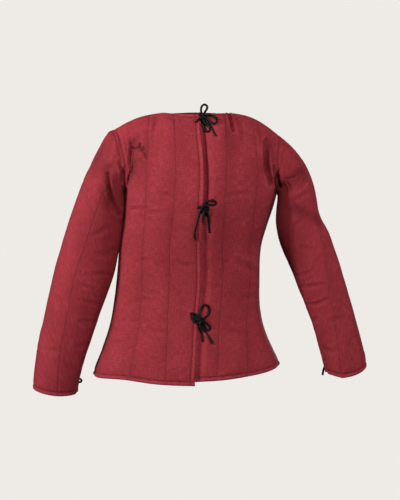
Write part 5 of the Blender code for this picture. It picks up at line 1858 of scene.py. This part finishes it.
# ---------------------------------------------------------------- laces
@dataclass
class Lace:
    """Runs of round lace between the cloth, a knot and their free ends."""

    name: str
    runs: tuple  # their names
    knot: Optional[str] = None
    diameter: float = 0.0054
    step: float = 0.0022  # between the points of a run
    least_steps: int = 4
    fine_steps: int = 30  # places for each point of the table, by which a run is measured
    knot_turns: int = 60  # points of a knot's winding
    knot_width: float = 1.4  # of the winding's lobes
    knot_spread: float = 1.25  # of a knot's winding, in the knot's half sizes
    knot_sink: float = 0.40  # of the lace's diameter, by which the winding lies in
    knot_core: float = 0.90  # of a knot's half sizes

    def route(self, name: str) -> Array:
        """Evenly spaced points along a run of lace.

        Args:
            name: the run's name.

        Returns:
            The points of its middle line.
        """
        cord = next(cord for cord in CORDS if cord.name == name)
        fine = cord.along(self.fine_steps)
        lengths = run_length(fine[:, None], 0)[:, 0]
        steps = np.linspace(0, lengths[-1], max(round(lengths[-1] / self.step), self.least_steps) + 1)
        return np.stack([np.interp(steps, lengths, fine[:, axis]) for axis in range(3)], axis=-1)

    def tube(self, name: str, route: Array, finish: bpy.types.Material, cyclic: bool = False) -> bpy.types.Object:
        """Round lace along a route.

        Args:
            name: the object's name.
            route: points of its middle line.
            finish: leather.
            cyclic: whether it closes on itself.

        Returns:
            The lace.
        """
        curve = bpy.data.curves.new(name, "CURVE")
        curve.dimensions = "3D"
        curve.bevel_depth = self.diameter / 2
        curve.bevel_resolution = 3
        curve.use_fill_caps = True
        spline = curve.splines.new("POLY")
        spline.points.add(len(route) - 1)
        for point, place in zip(spline.points, route):
            point.co = (*place, 1)
        spline.use_cyclic_u = cyclic
        spline.use_smooth = True
        cord = bpy.data.objects.new(name, curve)
        bpy.context.scene.collection.objects.link(cord)
        curve.materials.append(finish)
        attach(cord, "root")
        return cord

    def tie_knot(self, finish: bpy.types.Material) -> list[bpy.types.Object]:
        """Wind the lace round itself in a small tight knot.

        Args:
            finish: leather.

        Returns:
            The winding and the core that fills it.
        """
        knot = next(knot for knot in KNOTS if knot.name == self.knot)
        middle, half = np.array((knot.x, knot.y, knot.z)), np.array((knot.half_x, knot.half_y, knot.half_z))
        turn = np.linspace(0, 2 * np.pi, self.knot_turns + 1)[:-1]
        wide = self.knot_width  # the winding is a trefoil
        across, up = np.sin(turn) + wide * np.sin(2 * turn), np.cos(turn) - wide * np.cos(2 * turn)
        wound = line_up(across, -np.sin(3 * turn), up)
        wound = wound / np.abs(wound).max(axis=0)
        reach = half * self.knot_spread - self.diameter * self.knot_sink
        winding = self.tube(f"{self.knot}_winding", middle + wound * reach, finish, True)
        form = bmesh.new()
        bmesh.ops.create_uvsphere(form, u_segments=16, v_segments=10, radius=1.0)
        bmesh.ops.scale(form, vec=Vector(half * self.knot_core), verts=form.verts)
        bmesh.ops.translate(form, vec=Vector(middle), verts=form.verts)
        mesh = bpy.data.meshes.new(f"{self.knot}_core")
        form.to_mesh(mesh)
        form.free()
        mesh.shade_smooth()
        core = bpy.data.objects.new(mesh.name, mesh)
        bpy.context.scene.collection.objects.link(core)
        mesh.materials.append(finish)
        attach(core, "root")
        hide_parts(self.knot)
        return [winding, core]

    def build(self, finish: bpy.types.Material) -> None:
        """Args:
            finish: leather.
        """
        knot = self.tie_knot(finish) if self.knot else []
        short, free = list(knot), []
        for name in self.runs:
            route = self.route(name)
            length = float(np.linalg.norm(np.diff(route, axis=0), axis=1).sum())
            cord = self.tube(f"{name}_cord", route, finish)
            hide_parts(name)
            if length < SHORTEST_FREE_CORD:
                short.append(cord)
            else:
                free.append((cord, name, route, length))
        LOG.info("%s: %d free runs and %d short pieces", self.name, len(free), len(short))


LACES = (
    Lace(
        "neck_bow",
        ("neck_loop_top", "neck_loop_side", "neck_loop_low", "neck_end", "neck_lead", "neck_stub"),
        "neck_knot",
    ),
    Lace(
        "chest_bow",
        ("chest_end_low", "chest_loop_side", "chest_loop_front", "chest_end_side", "chest_lead", "chest_stub"),
        "chest_knot",
    ),
    Lace(
        "hip_bow",
        (
            "hip_loop_top", "hip_loop_side", "hip_end_low", "hip_end_side",
            "hip_lead_top", "hip_lead_middle", "hip_lead_low",
        ),
        "hip_knot",
    ),
    Lace("right_cuff_loop", ("cuff_loop",)),
    Lace("left_cuff_end", ("cuff_end",)),
)


# ---------------------------------------------------------------- studio
class Lamp(NamedTuple):
    """Round soft lamp: where it hangs, its diameter and its power in watts."""

    name: str
    place: tuple[float, float, float]
    size: float
    power: float


LAMPS = (
    Lamp("left_light", (-2.45, -0.95, 0.72), size=0.9, power=98.0),
    Lamp("right_light", (2.45, -1.00, 0.65), size=0.9, power=27.0),
    Lamp("front_light", (0.50, -2.85, 1.15), size=0.9, power=80.0),
    Lamp("back_light", (0.6, 3.2, 0.2), size=1.8, power=60.0),
)


@dataclass
class Studio:
    """Pale floor and backdrop, soft light from the upper left front, and the camera."""

    camera_at: tuple[float, float, float] = (0.0096, -5.0, -0.3312)
    lens: float = 150.0
    lens_reach: float = 60.0  # past the backdrop
    floor_z: float = -1.60
    floor_radius: float = 2.4
    backdrop_radius: float = 20.0
    lamps_aim_at: tuple[float, float, float] = (0, 0, -0.35)
    air_colour: str = "F4F2EE"
    air_glow: float = 0.035

    def set_camera(self) -> None:
        """Put the camera level with the middle of the garment, square to its front."""
        lens = bpy.data.cameras.new("camera")
        lens.lens, lens.sensor_width = self.lens, 36.0
        lens.clip_end = self.lens_reach
        camera = bpy.data.objects.new("camera", lens)
        camera.location = self.camera_at
        camera.rotation_euler = (math.pi / 2, 0, 0)
        bpy.context.scene.collection.objects.link(camera)
        bpy.context.scene.camera = camera

    def set_stage(self) -> None:
        """Lay the floor and stand the backdrop all round. Neither throws light back at the garment."""
        form = bmesh.new()
        bmesh.ops.create_circle(form, cap_ends=True, segments=96, radius=self.floor_radius)
        bmesh.ops.translate(form, vec=(0, 0, self.floor_z), verts=form.verts)
        floor = self.add_stage("floor", form, StudioPaper("pale_floor_paper", "E9E6E1"))
        floor.visible_diffuse = False
        form = bmesh.new()
        bmesh.ops.create_icosphere(form, subdivisions=4, radius=self.backdrop_radius)
        bmesh.ops.reverse_faces(form, faces=form.faces)
        backdrop = self.add_stage("backdrop", form, StudioPaper("pale_backdrop_paper", "EEEBE7", glow=1.0))
        backdrop.visible_diffuse = backdrop.visible_glossy = backdrop.visible_shadow = False

    @staticmethod
    def add_stage(name: str, form: bmesh.types.BMesh, paper: StudioPaper) -> bpy.types.Object:
        """Add a piece of the stage.

        Args:
            name: its name.
            form: its shape, freed here.
            paper: its finish.

        Returns:
            The object.
        """
        mesh = bpy.data.meshes.new(name)
        form.to_mesh(mesh)
        form.free()
        mesh.materials.append(paper.make())
        piece = bpy.data.objects.new(name, mesh)
        bpy.context.scene.collection.objects.link(piece)
        return piece

    def set_lights(self) -> None:
        """Hang the lamps, which all aim at the middle of the garment, in a faint even glow."""
        for row in LAMPS:
            light = bpy.data.lights.new(row.name, "AREA")
            light.shape, light.size, light.energy = "DISK", row.size, row.power
            lamp = bpy.data.objects.new(row.name, light)
            lamp.location = row.place
            aim = Vector(self.lamps_aim_at) - Vector(row.place)
            lamp.rotation_euler = aim.to_track_quat("-Z", "Y").to_euler()
            bpy.context.scene.collection.objects.link(lamp)
        world = bpy.data.worlds.new("studio_air")
        world.use_nodes = True
        feed(
            world.node_tree, world.node_tree.nodes["Background"],
            {"Color": linear(self.air_colour), "Strength": self.air_glow},
        )
        bpy.context.scene.world = world
        bpy.context.scene.view_settings.view_transform = "Standard"


def main() -> None:
    """Build the studio, the laces and the cloth, and report each piece."""
    logging.basicConfig(level=logging.INFO, format="%(name)s %(message)s")
    studio = Studio()
    studio.set_camera()
    leather = LeatherLace().make()
    for lace in LACES:
        lace.build(leather)
    cotton, thread = WovenCotton().make(), SewingThread().make()
    armhole_right, armhole_left = ArmholeSeam(ARMHOLE_RIGHT), ArmholeSeam(ARMHOLE_LEFT)
    front = {
        "flat": (0.30, 0.66), "rows": 220, "columns": 22, "folds": BODY_FOLDS,
        "first_edge": NEAR_EDGE, "first_columns": FIRST_COLUMNS,
    }
    front_right = Panel(
        name="front_right", seed=11, lines=FRONT_RIGHT_LINES, armholes=(None, armhole_right),
        hem_curves=(HEM_RIGHT_CURVE, HEM_RIGHT_CURVE), **front,
    )
    heights = np.linspace(0, 2, 160)
    front_left = Panel(
        name="front_left", seed=12, lines=FRONT_LEFT_LINES, armholes=(None, armhole_left),
        hem_curves=(HEM_LEFT_CURVE, HEM_LEFT_CURVE),
        lap_edge=front_right.point(np.zeros_like(heights), heights), **front,
    )
    back = Panel(
        name="back", flat=(0.52, 0.66), seed=13, lines=BACK_LINES, facing=Facing.BACK, folds=BODY_FOLDS,
        armholes=(armhole_left, armhole_right), hem_curves=(HEM_LEFT_CURVE, HEM_RIGHT_CURVE), rows=160, columns=8,
    )
    sleeve_right = Sleeve(
        name="sleeve_right", flat=(0.40, 0.62), seed=14, rings=SLEEVE_RIGHT, seam=armhole_right, arm=Arm.RIGHT,
        folds=SLEEVE_RIGHT_FOLDS, facets=(0.0, 0.1, 0.2, 0.0, 0.0), plain_top=0.055, rows=225, columns=15,
    )
    sleeve_left = Sleeve(
        name="sleeve_left", flat=(0.38, 0.60), seed=15, rings=SLEEVE_LEFT, seam=armhole_left, arm=Arm.LEFT,
        folds=SLEEVE_LEFT_FOLDS, seam_stitching=0.013, rows=225, columns=15,
    )
    for piece in (front_right, front_left, back, sleeve_right, sleeve_left):
        made = piece.build(cotton)
        piece.sew(thread)
    studio.set_stage()
    studio.set_lights()


if __name__ == "__main__":
    main()
